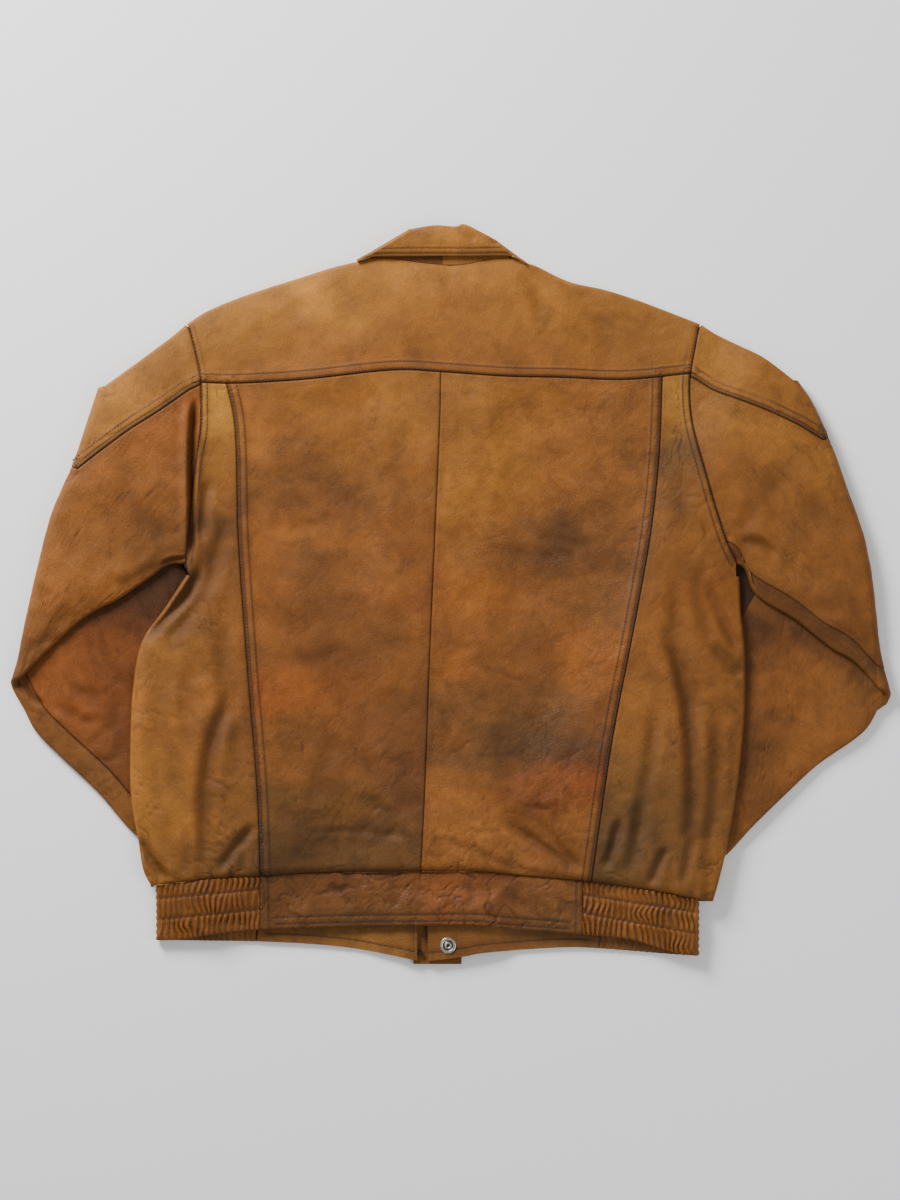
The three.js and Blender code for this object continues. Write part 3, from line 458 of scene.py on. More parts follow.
@dataclass(frozen=True)
class Seam:
    """A sewn seam: a groove, a raised strip on one side and rows of stitches in it."""

    REACH: ClassVar[float] = 25.0  # nothing changes further off
    GROOVE_WIDTH: ClassVar[float] = 0.8
    DARK_BAND_WIDTH: ClassVar[float] = 6.0
    STITCH_WIDTH: ClassVar[float] = 0.9
    STITCH_SINK: ClassVar[float] = 0.45
    EASE: ClassVar[float] = 3.2  # how far the strip falls off past its last row

    line: Array
    stitches: tuple[float, ...] = ()  # signed distances from the seam
    groove: float = 0.9
    strip: float = 0.7

    def press(self, x: Array, y: Array) -> tuple[Array, Array]:
        """Height change and shading of the seam at points of the plane."""
        d, _ = nearest(self.line, x, y)
        near = (np.abs(d) < self.REACH).astype(float)
        dz = -self.groove * np.exp(-((d / self.GROOVE_WIDTH) ** 2))
        # painted shade in the groove, darker along the stitch rows, and a broader darker band
        # either side of the seam
        dark = (0.55 * self.groove * np.exp(-((d / self.STITCH_WIDTH) ** 2))
                + 0.22 * np.exp(-((d / self.DARK_BAND_WIDTH) ** 2)))
        if self.stitches:
            edge = max(self.stitches, key=abs)
            side = math.copysign(1, edge)
            s = d * side
            fall = smooth((abs(edge) + self.EASE - s) / self.EASE)
            dz = dz + self.strip * smooth(s / 0.9 + 0.2) * fall
            for offset in self.stitches:
                row = np.exp(-(((d - offset) / self.STITCH_WIDTH) ** 2))
                dz, dark = dz - self.STITCH_SINK * row, dark + 0.9 * row
        return dz * near, dark * near


@dataclass
class Relief:
    """All that is pressed, sewn and crumpled into one surface."""

    # length along, length across, share that is creased and depth of each kind of wrinkle
    WRINKLES: ClassVar[tuple[tuple[float, float, float, float], ...]] = (
        (46, 18, 0.07, 0.55), (16, 34, 0.085, 0.65), (13, 9, 0.14, 0.7), (7, 8, 0.22, 0.42))

    folds: tuple[Fold, ...] = ()
    seams: tuple[Seam, ...] = ()
    extra: tuple[Field, ...] = ()
    rumple: float = 0.8
    seed: int = 3
    crumple: Field | None = None

    def __post_init__(self) -> None:
        """Makes the noises."""
        self.noises = [Noise(self.seed * 10 + k) for k in range(5)]

    def __call__(self, x: Array, y: Array) -> Array:
        """Height change at points of the plane."""
        return self.sample(x, y)[0]

    def wrinkles(self, x: Array, y: Array, strength: Array) -> tuple[Array, Array]:
        """Thin creases where a bent noise crosses zero, long ones and short ones.

        Each is (1 - |noise| / width) where that is above zero, times a patchy strength.
        """
        n = self.noises
        u = x + 14 * n[1](x / 33 + 4, y / 33) + 5 * n[3](x / 12, y / 12 + 5)
        v = y + 14 * n[0](x / 33, y / 33 + 8) + 5 * n[2](x / 12 + 3, y / 12)
        dz, dark = np.zeros(np.shape(x)), np.zeros(np.shape(x))
        for k, (long, across, width, deep) in enumerate(self.WRINKLES):
            crease = np.abs(n[4](u / long + 11 * k, v / across + 5 * k))
            line = np.clip(1 - crease / width, 0, 1)
            patch = np.clip(0.2 + 1.3 * n[k](x / 38 + 3 * k, y / 30 + 7 * k), 0, 1)
            dz = dz + deep * smooth(line) * patch * strength
            # painted shade along each crease
            dark = dark + 0.7 * deep * line * patch * strength
        return dz, dark

    def sample(self, x: Array, y: Array) -> tuple[Array, Array]:
        """Height change and shading at points of the plane."""
        n = self.noises
        dz = self.rumple * (
            1.1 * n[0](x / 85 + 7, y / 60 + 3)
            + 0.5 * n[1](x / 36 + 1, y / 27 + 9)
            + 0.3 * n[2](x / 15, y / 13)
            + 0.12 * n[3](x / 6.5, y / 6.5)
        )
        dark = np.zeros(np.shape(x))
        if self.crumple is not None:
            one, shade = self.wrinkles(x, y, self.crumple(x, y))
            dz, dark = dz - one, shade
        for item in (*self.folds, *self.seams):
            one, shade = item.press(x, y)
            dz, dark = dz + one, np.maximum(dark, shade)
        for extra in self.extra:
            dz = dz + extra(x, y)
        return dz, dark


# ------------------------------------------------------------------ colour


def linear(colour: Array) -> Array:
    """Linear light from display values of 0 to 255."""
    c = np.asarray(colour, float) / 255
    return np.where(c <= 0.04045, c / 12.92, ((c + 0.055) / 1.055) ** 2.4)


# how much deeper the colour is than it looks: light off the finish adds white to it
DEPTH = np.array([0.735, 0.625, 0.30])


@dataclass(frozen=True)
class DyeAndShadow:
    """Uneven colour of one piece: spots of colour that run into one another. Their colours give the
    leather's stains with some of its shading in them, and a few spots are painted shadow.
    """

    spots: tuple[tuple[float, float, int, int, int], ...]
    reach: float = 30.0
    seed: int = 5
    streak: float = 1.25  # how far the spots are drawn out across, and flattened

    def __call__(self, x: Array, y: Array) -> Array:
        """Linear colour at points of the plane: the bell-weighted mean of the spots' colours."""
        warp = [Noise(self.seed + k) for k in range(4)]
        broad, medium, fine = (x / 48, y / 30), (x / 18, y / 10), (x / 6, y / 3.5)
        u = x + 13 * warp[0](*broad) + 8 * warp[2](*medium) + 3 * warp[0](*fine)
        v = y + 13 * warp[1](*broad) + 6 * warp[3](*medium) + 3 * warp[1](*fine)
        total, weight = np.zeros((*np.shape(x), 3)), np.full((*np.shape(x), 1), 1e-12)
        for sx, sy, *colour in self.spots:
            far = ((u - sx) / self.streak) ** 2 + ((v - sy) * self.streak) ** 2
            w = np.exp(-far / (2 * self.reach**2))[..., None] + 1e-12
            total, weight = total + w * linear(colour) * DEPTH, weight + w
        return total / weight


DYES_AND_SHADOWS = {
    "yoke": DyeAndShadow((
        (-240, 264, 165, 116, 62), (-150, 290, 172, 122, 66), (-60, 305, 168, 116, 62),
        (-10, 274, 159, 107, 58), (60, 300, 160, 108, 56), (90, 285, 150, 100, 52),
        (150, 285, 154, 105, 55), (155, 245, 132, 86, 46), (190, 254, 150, 102, 56),
        (232, 262, 158, 110, 58), (-225, 226, 150, 100, 54), (-150, 228, 145, 95, 53),
        (-60, 234, 143, 94, 52), (10, 232, 140, 90, 49), (80, 228, 136, 87, 47),
        (215, 228, 148, 98, 52), (110, 305, 165, 114, 60))),
    "centre_left": DyeAndShadow((
        (-120, 185, 153, 101, 52), (-200, 180, 150, 98, 52), (-40, 185, 154, 104, 56),
        (-30, 120, 140, 92, 50), (-160, 120, 128, 84, 47), (-105, 99, 106, 68, 42),
        (-140, 84, 112, 72, 43), (-70, 130, 146, 96, 51), (-150, 66, 152, 97, 50),
        (-180, 30, 140, 88, 46), (-105, 60, 150, 96, 50), (-50, 60, 136, 86, 47),
        (-130, 36, 110, 72, 44), (-90, 40, 116, 75, 45), (-70, 20, 138, 88, 48),
        (-120, -10, 124, 80, 47), (-40, -10, 134, 84, 46), (-180, -40, 132, 84, 46),
        (-160, -92, 152, 90, 46), (-110, -80, 132, 82, 44), (-60, -60, 130, 84, 47),
        (-90, -130, 128, 82, 48), (-30, -110, 118, 76, 45), (-60, -170, 120, 76, 48),
        (-150, -160, 130, 84, 47), (-160, -215, 112, 78, 48), (-100, -205, 116, 80, 49),
        (-40, -205, 114, 74, 47), (-120, -256, 103, 73, 48), (-50, -258, 106, 74, 49),
        (-172, -262, 98, 70, 46)), reach=18),
    "centre_right": DyeAndShadow((
        (10, 190, 153, 104, 55), (70, 180, 152, 100, 53), (150, 185, 140, 91, 50),
        (50, 128, 163, 110, 56), (10, 95, 158, 106, 54), (120, 130, 148, 96, 51),
        (170, 140, 134, 88, 50), (60, 85, 156, 103, 53), (130, 90, 138, 90, 50),
        (175, 75, 128, 84, 49), (90, 56, 98, 66, 44), (120, 40, 104, 70, 46),
        (60, 44, 122, 80, 48), (30, 40, 142, 93, 50), (150, 42, 120, 79, 50),
        (20, 0, 156, 98, 48), (90, 14, 136, 88, 52), (150, -10, 124, 82, 51),
        (15, -46, 140, 88, 46), (70, -62, 128, 83, 49), (135, -60, 144, 90, 46),
        (45, -100, 126, 84, 52), (105, -118, 116, 79, 52), (95, -146, 88, 63, 48),
        (130, -150, 96, 66, 48), (60, -134, 104, 74, 52), (150, -125, 126, 80, 47),
        (0, -140, 122, 80, 49), (35, -158, 112, 78, 54), (90, -186, 128, 78, 47),
        (130, -182, 136, 78, 44), (5, -200, 150, 98, 56), (40, -205, 152, 98, 57),
        (35, -236, 155, 102, 62), (95, -236, 144, 94, 58), (0, -262, 146, 95, 55),
        (70, -270, 140, 92, 57), (125, -262, 132, 88, 54)), reach=18),
    "side_left": DyeAndShadow((
        (-232, 190, 186, 136, 70), (-226, 160, 168, 118, 60), (-238, 130, 140, 94, 50),
        (-220, 94, 136, 90, 49), (-250, 70, 98, 68, 38), (-222, 40, 128, 84, 47),
        (-245, 10, 122, 80, 44), (-215, -10, 138, 90, 49), (-270, -22, 124, 83, 44),
        (-212, -60, 134, 88, 49), (-285, -60, 142, 96, 52), (-255, -95, 148, 98, 53),
        (-300, -120, 156, 105, 57), (-262, -150, 150, 99, 54), (-212, -150, 126, 84, 48),
        (-302, -180, 160, 110, 59), (-285, -226, 164, 114, 61), (-255, -225, 150, 99, 54),
        (-212, -215, 120, 82, 48), (-205, -262, 100, 70, 44), (-250, -268, 128, 87, 47),
        (-285, -272, 152, 104, 55)), reach=19),
    "side_right": DyeAndShadow((
        (226, 200, 170, 122, 64), (218, 168, 140, 96, 52), (216, 134, 108, 77, 42),
        (250, 110, 138, 92, 48), (225, 88, 130, 86, 44), (256, 60, 140, 92, 48),
        (215, 30, 128, 84, 45), (245, -6, 136, 86, 44), (272, -20, 140, 91, 48),
        (205, -50, 140, 92, 50), (280, -80, 136, 90, 50), (232, -90, 132, 87, 49),
        (195, -120, 150, 101, 56), (262, -120, 142, 94, 53), (222, -150, 134, 91, 52),
        (180, -175, 128, 90, 54), (275, -170, 142, 95, 52), (215, -205, 116, 82, 52),
        (180, -225, 104, 76, 51), (250, -215, 130, 90, 51), (165, -262, 100, 74, 49),
        (215, -262, 122, 85, 53), (262, -262, 148, 99, 51), (245, -290, 130, 88, 48)), reach=19),
    "over_left": DyeAndShadow((
        # the first three spots are painted shadow under the armpit
        (-300, 4, 66, 40, 20), (-312, -22, 84, 50, 25), (-296, -60, 110, 64, 32),
        (-270, 244, 162, 113, 60), (-320, 194, 165, 117, 65), (-360, 150, 158, 108, 56),
        (-290, 205, 150, 100, 53))),
    "over_right": DyeAndShadow((
        # the first three spots are painted shadow under the armpit
        (300, 6, 48, 28, 14), (302, -30, 66, 40, 20), (298, -90, 96, 60, 32),
        (290, 224, 161, 110, 58), (250, 254, 164, 115, 60), (340, 199, 150, 102, 54),
        (375, 170, 134, 88, 47))),
    "arm_left": DyeAndShadow((
        (-285, 160, 142, 88, 47), (-262, 120, 128, 80, 44), (-330, 118, 141, 90, 48),
        (-370, 80, 148, 96, 50), (-330, 74, 129, 81, 42), (-275, 82, 122, 79, 44),
        (-300, 48, 112, 74, 41), (-390, 40, 152, 99, 52), (-350, 14, 150, 97, 53),
        (-400, -20, 140, 91, 48), (-370, -10, 142, 90, 48), (-395, -55, 124, 80, 43),
        (-424, -76, 112, 73, 41)), reach=24),
    "arm_right": DyeAndShadow((
        (300, 178, 161, 111, 58), (352, 130, 156, 105, 56), (380, 124, 160, 110, 60),
        (262, 170, 150, 102, 54), (290, 124, 140, 92, 50), (318, 96, 134, 89, 49),
        (370, 80, 146, 97, 52), (270, 80, 144, 94, 48), (400, 40, 140, 92, 50),
        (360, 36, 136, 89, 49), (315, 52, 146, 96, 51), (410, -26, 140, 92, 50),
        (380, -15, 130, 85, 47), (422, -74, 126, 82, 46)), reach=24),
    "strip_right": DyeAndShadow((
        (310, 18, 112, 72, 40), (350, -26, 98, 62, 35), (395, -50, 112, 74, 42),
        (425, -80, 118, 78, 45))),
    "forearm_left": DyeAndShadow((
        # the first three spots are painted shadow beside the body's edge and under the armpit
        (-300, -16, 84, 50, 25), (-306, -110, 96, 58, 30), (-312, -160, 98, 60, 32),
        (-330, -50, 118, 68, 34), (-372, -72, 128, 75, 39), (-360, -100, 132, 76, 39),
        (-395, -112, 148, 88, 47), (-335, -112, 122, 70, 36), (-350, -140, 132, 80, 44),
        (-328, -176, 118, 72, 42)), reach=20),
    "underside_left": DyeAndShadow((
        (-420, -110, 122, 80, 46), (-370, -176, 130, 90, 62), (-390, -140, 132, 86, 52),
        (-330, -218, 136, 92, 54))),
    "forearm_right": DyeAndShadow((
        # the first five spots are painted shadow in a band beside the body's edge
        (300, -30, 84, 52, 27), (286, -90, 70, 44, 24), (290, -130, 74, 47, 26),
        (286, -170, 78, 50, 27), (282, -205, 84, 54, 30), (330, -60, 118, 74, 40),
        (320, -110, 142, 91, 50), (350, -100, 152, 98, 54), (390, -100, 134, 88, 50),
        (418, -98, 122, 82, 48), (340, -166, 146, 96, 54), (300, -170, 136, 87, 47),
        (300, -215, 146, 96, 53), (365, -140, 146, 95, 53)), reach=22),
    "band": DyeAndShadow((
        (-180, -305, 112, 76, 47), (-130, -302, 118, 76, 48), (-60, -300, 124, 79, 49),
        (0, -297, 134, 80, 49), (50, -304, 120, 76, 48), (90, -308, 118, 79, 51),
        (120, -300, 130, 86, 56), (-100, -327, 113, 79, 53), (20, -328, 118, 80, 54),
        (100, -332, 120, 84, 54)), reach=20),
    "elastic_left": DyeAndShadow((
        (-285, -300, 128, 84, 47), (-240, -306, 134, 86, 48), (-210, -300, 126, 80, 46),
        (-270, -330, 140, 92, 52), (-215, -328, 130, 84, 48))),
    "elastic_right": DyeAndShadow((
        (150, -306, 132, 85, 50), (190, -321, 141, 94, 57), (230, -330, 150, 100, 58),
        (240, -345, 142, 94, 53), (170, -335, 136, 88, 50))),
    "front_band": DyeAndShadow((
        (-150, -341, 124, 86, 52), (-80, -346, 150, 107, 66), (-20, -350, 128, 86, 48),
        (30, -348, 130, 88, 52), (70, -345, 132, 92, 60), (130, -346, 124, 86, 56)), reach=22),
    "fall": DyeAndShadow((
        (-60, 345, 160, 111, 59), (-30, 356, 168, 117, 61), (0, 345, 160, 108, 57),
        (30, 356, 158, 108, 56), (60, 342, 146, 98, 51), (-85, 337, 146, 98, 52))),
    "stand_left": DyeAndShadow((
        (-60, 335, 120, 74, 40), (-25, 333, 104, 60, 33))),
    "stand_right": DyeAndShadow((
        (10, 333, 156, 107, 58), (45, 336, 132, 86, 46))),
    "hidden": DyeAndShadow((
        (-150, 100, 148, 98, 54), (150, 100, 144, 95, 52), (-100, -150, 138, 90, 50),
        (150, -150, 136, 88, 49), (0, -300, 132, 86, 48), (-300, -100, 140, 92, 51),
        (300, -100, 142, 93, 51)), reach=70),
}
# the fronts get painted shadow where they show beside the forearms, below the armpits
DYES_AND_SHADOWS["front"] = DyeAndShadow((
    *DYES_AND_SHADOWS["hidden"].spots,
    (-290, 12, 70, 43, 21), (-300, -12, 64, 39, 19), (-308, -34, 74, 46, 23),
    (-322, -20, 80, 50, 25), (294, 14, 50, 29, 15), (300, -14, 46, 27, 14),
    (298, -44, 62, 38, 20), (310, -10, 60, 37, 19)), reach=16)
FLESH = linear((150, 118, 84)) * DEPTH


# ------------------------------------------------------------------ shells


@dataclass(frozen=True)
class Cut:
    """The flat cut of a piece: width, length and area, in metres."""

    width: float
    length: float
    area: float


class Shell:
    """A closed wall of leather made from grids of outer points that share borders."""

    WELD = 40  # points within this share of a millimetre are one
    CUT_EDGE = 0.35  # how dark the leather's cut edge is
    # how much the painted shade of folds, creases, grooves and gathers darkens the colour
    SHADE_DARKENING = 0.85

    def __init__(self, thickness: float = LEATHER) -> None:
        """Starts with no grid."""
        self.thickness = thickness
        self.points: list[Array] = []
        self.shades: list[Array] = []
        self.faces: list[Array] = []
        self.count = 0
        self.cut = Cut(0.01, 0.01, 0.0001)
        self.node = ""
        self.facing = 1.0

    def grid(self, points: Array, shade: Array | None = None, turned: bool = False) -> Shell:
        """Adds a grid of points in rows.

        Args:
            points: rows by columns by three, in millimetres.
            shade: how dark each point is painted, rows by columns: painted shade in folds, creases,
                grooves and gathers, and darker bands along seams.
            turned: True if the grid faces against the first one.

        Returns:
            The shell itself.
        """
        rows, columns = points.shape[:2]
        ids = np.arange(rows * columns).reshape(rows, columns) + self.count
        a, b, c, d = ids[:-1, :-1], ids[:-1, 1:], ids[1:, 1:], ids[1:, :-1]
        faces = np.concatenate([
            np.stack([a, b, c], -1).reshape(-1, 3), np.stack([a, c, d], -1).reshape(-1, 3)])
        if not self.points:
            across = np.linalg.norm(np.diff(points, axis=1), axis=-1).sum(1).max()
            up = np.linalg.norm(np.diff(points, axis=0), axis=-1).sum(0).max()
            self.cut = Cut(across * MM, up * MM, 0)
            corner = points[2:6, : max(2, columns // 4)]
            turn = np.cross(np.diff(corner, axis=1)[:-1], np.diff(corner, axis=0)[:, :-1])
            self.facing = float(np.sign(turn[..., 2].sum()))
        self.faces.append(faces[:, ::-1] if turned else faces)
        self.points.append(points.reshape(-1, 3))
        self.shades.append(np.zeros(rows * columns) if shade is None else shade.ravel())
        self.count += rows * columns
        return self

    def weld(self) -> tuple[Array, Array, Array]:
        """Joins points that fall together; returns points, shades and true triangles."""
        points, shades = np.concatenate(self.points), np.concatenate(self.shades)
        faces = np.concatenate(self.faces)
        keys = np.round(points * self.WELD).astype(np.int64)
        _, first, back = np.unique(keys, axis=0, return_index=True, return_inverse=True)
        faces = back.ravel()[faces]
        real = (faces != np.roll(faces, 1, axis=1)).all(axis=1)
        return points[first], shades[first], faces[real]

    def build(self, name: str, up: float, dye_and_shade: Field,
              lining: Field | None = None) -> bpy.types.Object:
        """Makes the closed mesh.

        The inner wall is the outer one moved in along the vertex normals, and a rim joins them
        along every open border.

        Args:
            name: name of the piece.
            up: the side that the first grid faces, 1 for up and -1 for down.
            dye_and_shade: linear colour over the plane, of the outer side.
            lining: that of the inner side; plain flesh side without it.

        Returns:
            The object, at the origin.
        """
        outer, shade, faces = self.weld()
        a, b, c = (outer[faces[:, k]] for k in range(3))
        normal = np.cross(b - a, c - a)
        if self.facing * up < 0:
            faces, normal = faces[:, ::-1], -normal
        vertex_normal = np.zeros_like(outer)
        for k in range(3):
            np.add.at(vertex_normal, faces[:, k], normal)
        vertex_normal /= np.maximum(np.linalg.norm(vertex_normal, axis=1, keepdims=True), 1e-9)
        inner = outer - vertex_normal * self.thickness
        inner[:, 2] = np.maximum(inner[:, 2], 0)  # nothing lies under the floor
        size = len(outer)
        edges = np.concatenate([faces[:, [0, 1]], faces[:, [1, 2]], faces[:, [2, 0]]])
        codes, reverse = edges[:, 0] * size + edges[:, 1], edges[:, 1] * size + edges[:, 0]
        doubled = len(codes) - len(np.unique(codes))
        if doubled:
            LOG.warning("%s: %d edges run the same way twice", name, doubled)
        p, q = edges[~np.isin(codes, reverse)].T
        rim = np.concatenate([np.stack([q, p, p + size], -1),
                              np.stack([q, p + size, q + size], -1)])
        area = float(np.linalg.norm(normal, axis=1).sum() / 2) * MM**2
        width, length = self.cut.width, self.cut.length
        if area > width * length:
            length = area / width * 1.001
        self.cut = Cut(round(width, 3), round(length + 0.0005, 3), round(area, 4))
        outside = dye_and_shade(outer[:, 0], outer[:, 1])
        inside = np.tile(FLESH, (size, 1)) if lining is None else lining(outer[:, 0], outer[:, 1])
        border = np.unique(np.concatenate([p, q]))
        inside[border] = outside[border] * self.CUT_EDGE
        # painted shade: the leather's colour is darkened in its folds, creases, grooves and gathers
        worn = np.exp(-self.SHADE_DARKENING * np.clip(shade, 0, 2))[:, None]
        colour = np.concatenate([outside * worn, inside * (worn if lining else 1)])
        self.node = name
        return mesh_object(f"{name}_hide", np.concatenate([outer, inner]),
                           np.concatenate([faces, faces[:, ::-1] + size, rim]), colour)


def mesh_object(name: str, points: Array, faces: Array, colour: Array | None = None,
                sharp: float = 0.9) -> bpy.types.Object:
    """A mesh of triangles or quads, shaded smooth with sharp edges past an angle.

    Args:
        name: name of the piece.
        points: its points, in millimetres.
        faces: indices, three or four a row.
        colour: linear colour of each point, kept as the attribute "dye".
        sharp: angle in radians past which an edge is sharp.

    Returns:
        The object, at the origin.
    """
    mesh = bpy.data.meshes.new(name)
    corners = faces.shape[1]
    mesh.vertices.add(len(points))
    mesh.vertices.foreach_set("co", (points * MM).astype(np.float32).ravel())
    mesh.loops.add(faces.size)
    mesh.loops.foreach_set("vertex_index", faces.astype(np.int32).ravel())
    mesh.polygons.add(len(faces))
    mesh.polygons.foreach_set("loop_start", np.arange(len(faces), dtype=np.int32) * corners)
    mesh.update(calc_edges=True)
    mesh.validate()
    mesh.polygons.foreach_set("use_smooth", np.ones(len(mesh.polygons), bool))
    mesh.set_sharp_from_angle(angle=sharp)
    if colour is not None:
        # the stored colour holds the leather's stains, painted shade in creases and grooves, and
        # painted shadow spots
        layer = mesh.color_attributes.new("dye_and_shade", "FLOAT_COLOR", "POINT")
        rgba = np.concatenate([colour, np.ones((len(colour), 1))], axis=1)
        layer.data.foreach_set("color", rgba.astype(np.float32).ravel())
    obj = bpy.data.objects.new(name, mesh)
    bpy.context.scene.collection.objects.link(obj)
    return obj


# ------------------------------------------------------------------ finishes


class Nodes:
    """A material's node tree, with short ways to add and join nodes."""

    def __init__(self, name: str) -> None:
        """Makes a material with a Principled shader."""
        self.material = bpy.data.materials.new(name)
        self.material.use_nodes = True
        self.tree = self.material.node_tree
        self.shader = self.tree.nodes["Principled BSDF"]
        self.place = self.add("ShaderNodeTexCoord").outputs["Object"]

    def add(self, kind: str, **values: object) -> bpy.types.Node:
        """Adds a node; keywords set its properties, or its inputs by name with _ for spaces."""
        node = self.tree.nodes.new(kind)
        for key, value in values.items():
            if hasattr(node, key):
                setattr(node, key, value)
            else:
                node.inputs[key.replace("_", " ")].default_value = value
        return node

    def join(self, source: Socket, target: Socket) -> None:
        """Links two sockets."""
        self.tree.links.new(source, target)

    def texture(self, kind: str, output: str = "Fac", **values: object) -> Socket:
        """Adds a texture in the object's own space and returns its output."""
        node = self.add(f"ShaderNodeTex{kind}", **values)
        self.join(self.place, node.inputs["Vector"])
        return node.outputs[output]

    def ranged(self, value: Socket, source: Point, target: Point, **values: object) -> Socket:
        """Maps a value from one range on to another."""
        node = self.add("ShaderNodeMapRange", From_Min=source[0], From_Max=source[1],
                        To_Min=target[0], To_Max=target[1], **values)
        self.join(value, node.inputs["Value"])
        return node.outputs["Result"]

    def product(self, first: Socket, *others: Socket) -> Socket:
        """Multiplies values."""
        for other in others:
            node = self.add("ShaderNodeMath", operation="MULTIPLY")
            self.join(first, node.inputs[0])
            self.join(other, node.inputs[1])
            first = node.outputs["Value"]
        return first

    def ramp(self, value: Socket, dark: Array, light: Array, ends: Point = (0.0, 1.0)) -> None:
        """Colours the shader from dark to light by a value."""
        node = self.add("ShaderNodeValToRGB")
        for element, end, colour in zip(node.color_ramp.elements, ends, (dark, light)):
            element.position, element.color = end, (*colour, 1)
        self.join(value, node.inputs["Fac"])
        self.join(node.outputs["Color"], self.shader.inputs["Base Color"])

    def bump(self, height: Socket, distance: float, strength: float,
             before: bpy.types.Node | None = None) -> bpy.types.Node:
        """Adds a bump of that distance in metres, on top of another one, to the shader."""
        node = self.add("ShaderNodeBump", Distance=distance, Strength=strength)
        self.join(height, node.inputs["Height"])
        if before is not None:
            self.join(before.outputs["Normal"], node.inputs["Normal"])
        self.join(node.outputs["Normal"], self.shader.inputs["Normal"])
        return node

    def set(self, **values: object) -> None:
        """Sets the shader's inputs by name, with _ for spaces."""
        for key, value in values.items():
            self.shader.inputs[key.replace("_", " ")].default_value = value


@dataclass(frozen=True)
class LeatherFinish:
    """Worn aniline leather: uneven colour with painted shade in it, pebbled grain, fine wrinkles
    and a dull shine.
    """

    name: str
    roughness: float = 0.56
    grain: float = 0.55
    wrinkle: float = 0.45
    mottle: float = 0.2

    def make(self) -> bpy.types.Material:
        """Builds the material."""
        n = Nodes(self.name)
        # the stored colour, with its painted shade and painted shadow
        dye_and_shade = n.add("ShaderNodeAttribute", attribute_name="dye_and_shade").outputs["Color"]
        cloud = n.texture("Noise", Scale=46.0, Detail=7.0, Roughness=0.62, Distortion=0.5)
        fine = n.texture("Noise", Scale=560.0, Detail=4.0, Roughness=0.7)
        veil = n.texture("Noise", Scale=13.0, Detail=5.0, Roughness=0.6, Distortion=0.8)
        tone = n.product(
            n.ranged(cloud, (0.3, 0.7), (1 - self.mottle, 1 + self.mottle)),
            n.ranged(fine, (0.3, 0.7), (0.84, 1.16)),
            n.ranged(veil, (0.32, 0.62), (0.78, 1.1)))
        colour = n.add("ShaderNodeVectorMath", operation="SCALE")
        n.join(dye_and_shade, colour.inputs[0])
        n.join(tone, colour.inputs["Scale"])
        n.join(colour.outputs["Vector"], n.shader.inputs["Base Color"])
        shine = n.ranged(cloud, (0.25, 0.75), (self.roughness - 0.1, self.roughness + 0.14))
        n.join(shine, n.shader.inputs["Roughness"])
        n.set(Specular_IOR_Level=0.22)

        # pebbled grain: cells whose places are bent a little, over fine wrinkles
        bent = n.texture("Noise", "Color", Scale=230.0, Detail=2.0)
        shift = n.add("ShaderNodeVectorMath", operation="SCALE", Scale=0.0022)
        n.join(bent, shift.inputs[0])
        moved = n.add("ShaderNodeVectorMath", operation="ADD")
        n.join(n.place, moved.inputs[0])
        n.join(shift.outputs["Vector"], moved.inputs[1])
        pebble = n.add("ShaderNodeTexVoronoi", feature="DISTANCE_TO_EDGE", Scale=620.0)
        n.join(moved.outputs["Vector"], pebble.inputs["Vector"])
        soft = n.ranged(pebble.outputs["Distance"], (0.0, 0.22), (0.0, 1.0),
                        interpolation_type="SMOOTHSTEP")
        lines = n.texture("Noise", Scale=95.0, Detail=6.0, Roughness=0.7, Distortion=1.4)
        n.bump(soft, 0.00022, self.grain, n.bump(lines, 0.0011, self.wrinkle))
        return n.material


@dataclass(frozen=True)
class ThreadFinish:
    """Dark spun thread."""

    name: str = "thread"
    colour: tuple[int, int, int] = (50, 30, 18)

    def make(self) -> bpy.types.Material:
        """Builds the material: a tight twist in the bump and a little change of tone."""
        n = Nodes(self.name)
        tone = n.texture("Noise", Scale=260.0, Detail=2.0)
        n.ramp(tone, linear(self.colour) * 0.7, linear(self.colour) * 1.5)
        n.set(Roughness=0.75)
        n.bump(n.texture("Wave", Scale=900.0, Distortion=0.5), 0.0001, 0.5)
        return n.material


@dataclass(frozen=True)
class MetalFinish:
    """Plated or cast metal with fine scratches and tarnish."""

    name: str
    bright: tuple[int, int, int]
    dull: tuple[int, int, int]
    roughness: float = 0.3
    metallic: float = 1.0

    def make(self) -> bpy.types.Material:
        """Builds the material: tarnish in soft patches, and roughness that follows it."""
        n = Nodes(self.name)
        patch = n.texture("Noise", Scale=240.0, Detail=5.0, Roughness=0.65)
        n.ramp(patch, linear(self.dull), linear(self.bright), (0.38, 0.62))
        shine = n.ranged(patch, (0.0, 1.0), (self.roughness + 0.2, self.roughness - 0.05))
        n.join(shine, n.shader.inputs["Roughness"])
        n.set(Metallic=self.metallic)
        n.bump(n.texture("Noise", Scale=1500.0, Detail=2.0), 0.00005, 0.4)
        return n.material


@dataclass(frozen=True)
class TapeFinish:
    """Woven zip tape."""

    name: str = "tape"
    colour: tuple[int, int, int] = (46, 41, 36)

    def make(self) -> bpy.types.Material:
        """Builds the material: one diagonal wave for the weave, in its tone and its bump."""
        n = Nodes(self.name)
        weave = n.texture("Wave", Scale=340.0, Distortion=0.3, bands_direction="DIAGONAL")
        n.ramp(weave, linear(self.colour) * 0.7, linear(self.colour) * 1.4)
        n.set(Roughness=0.85)
        n.bump(weave, 0.00015, 0.6)
        return n.material


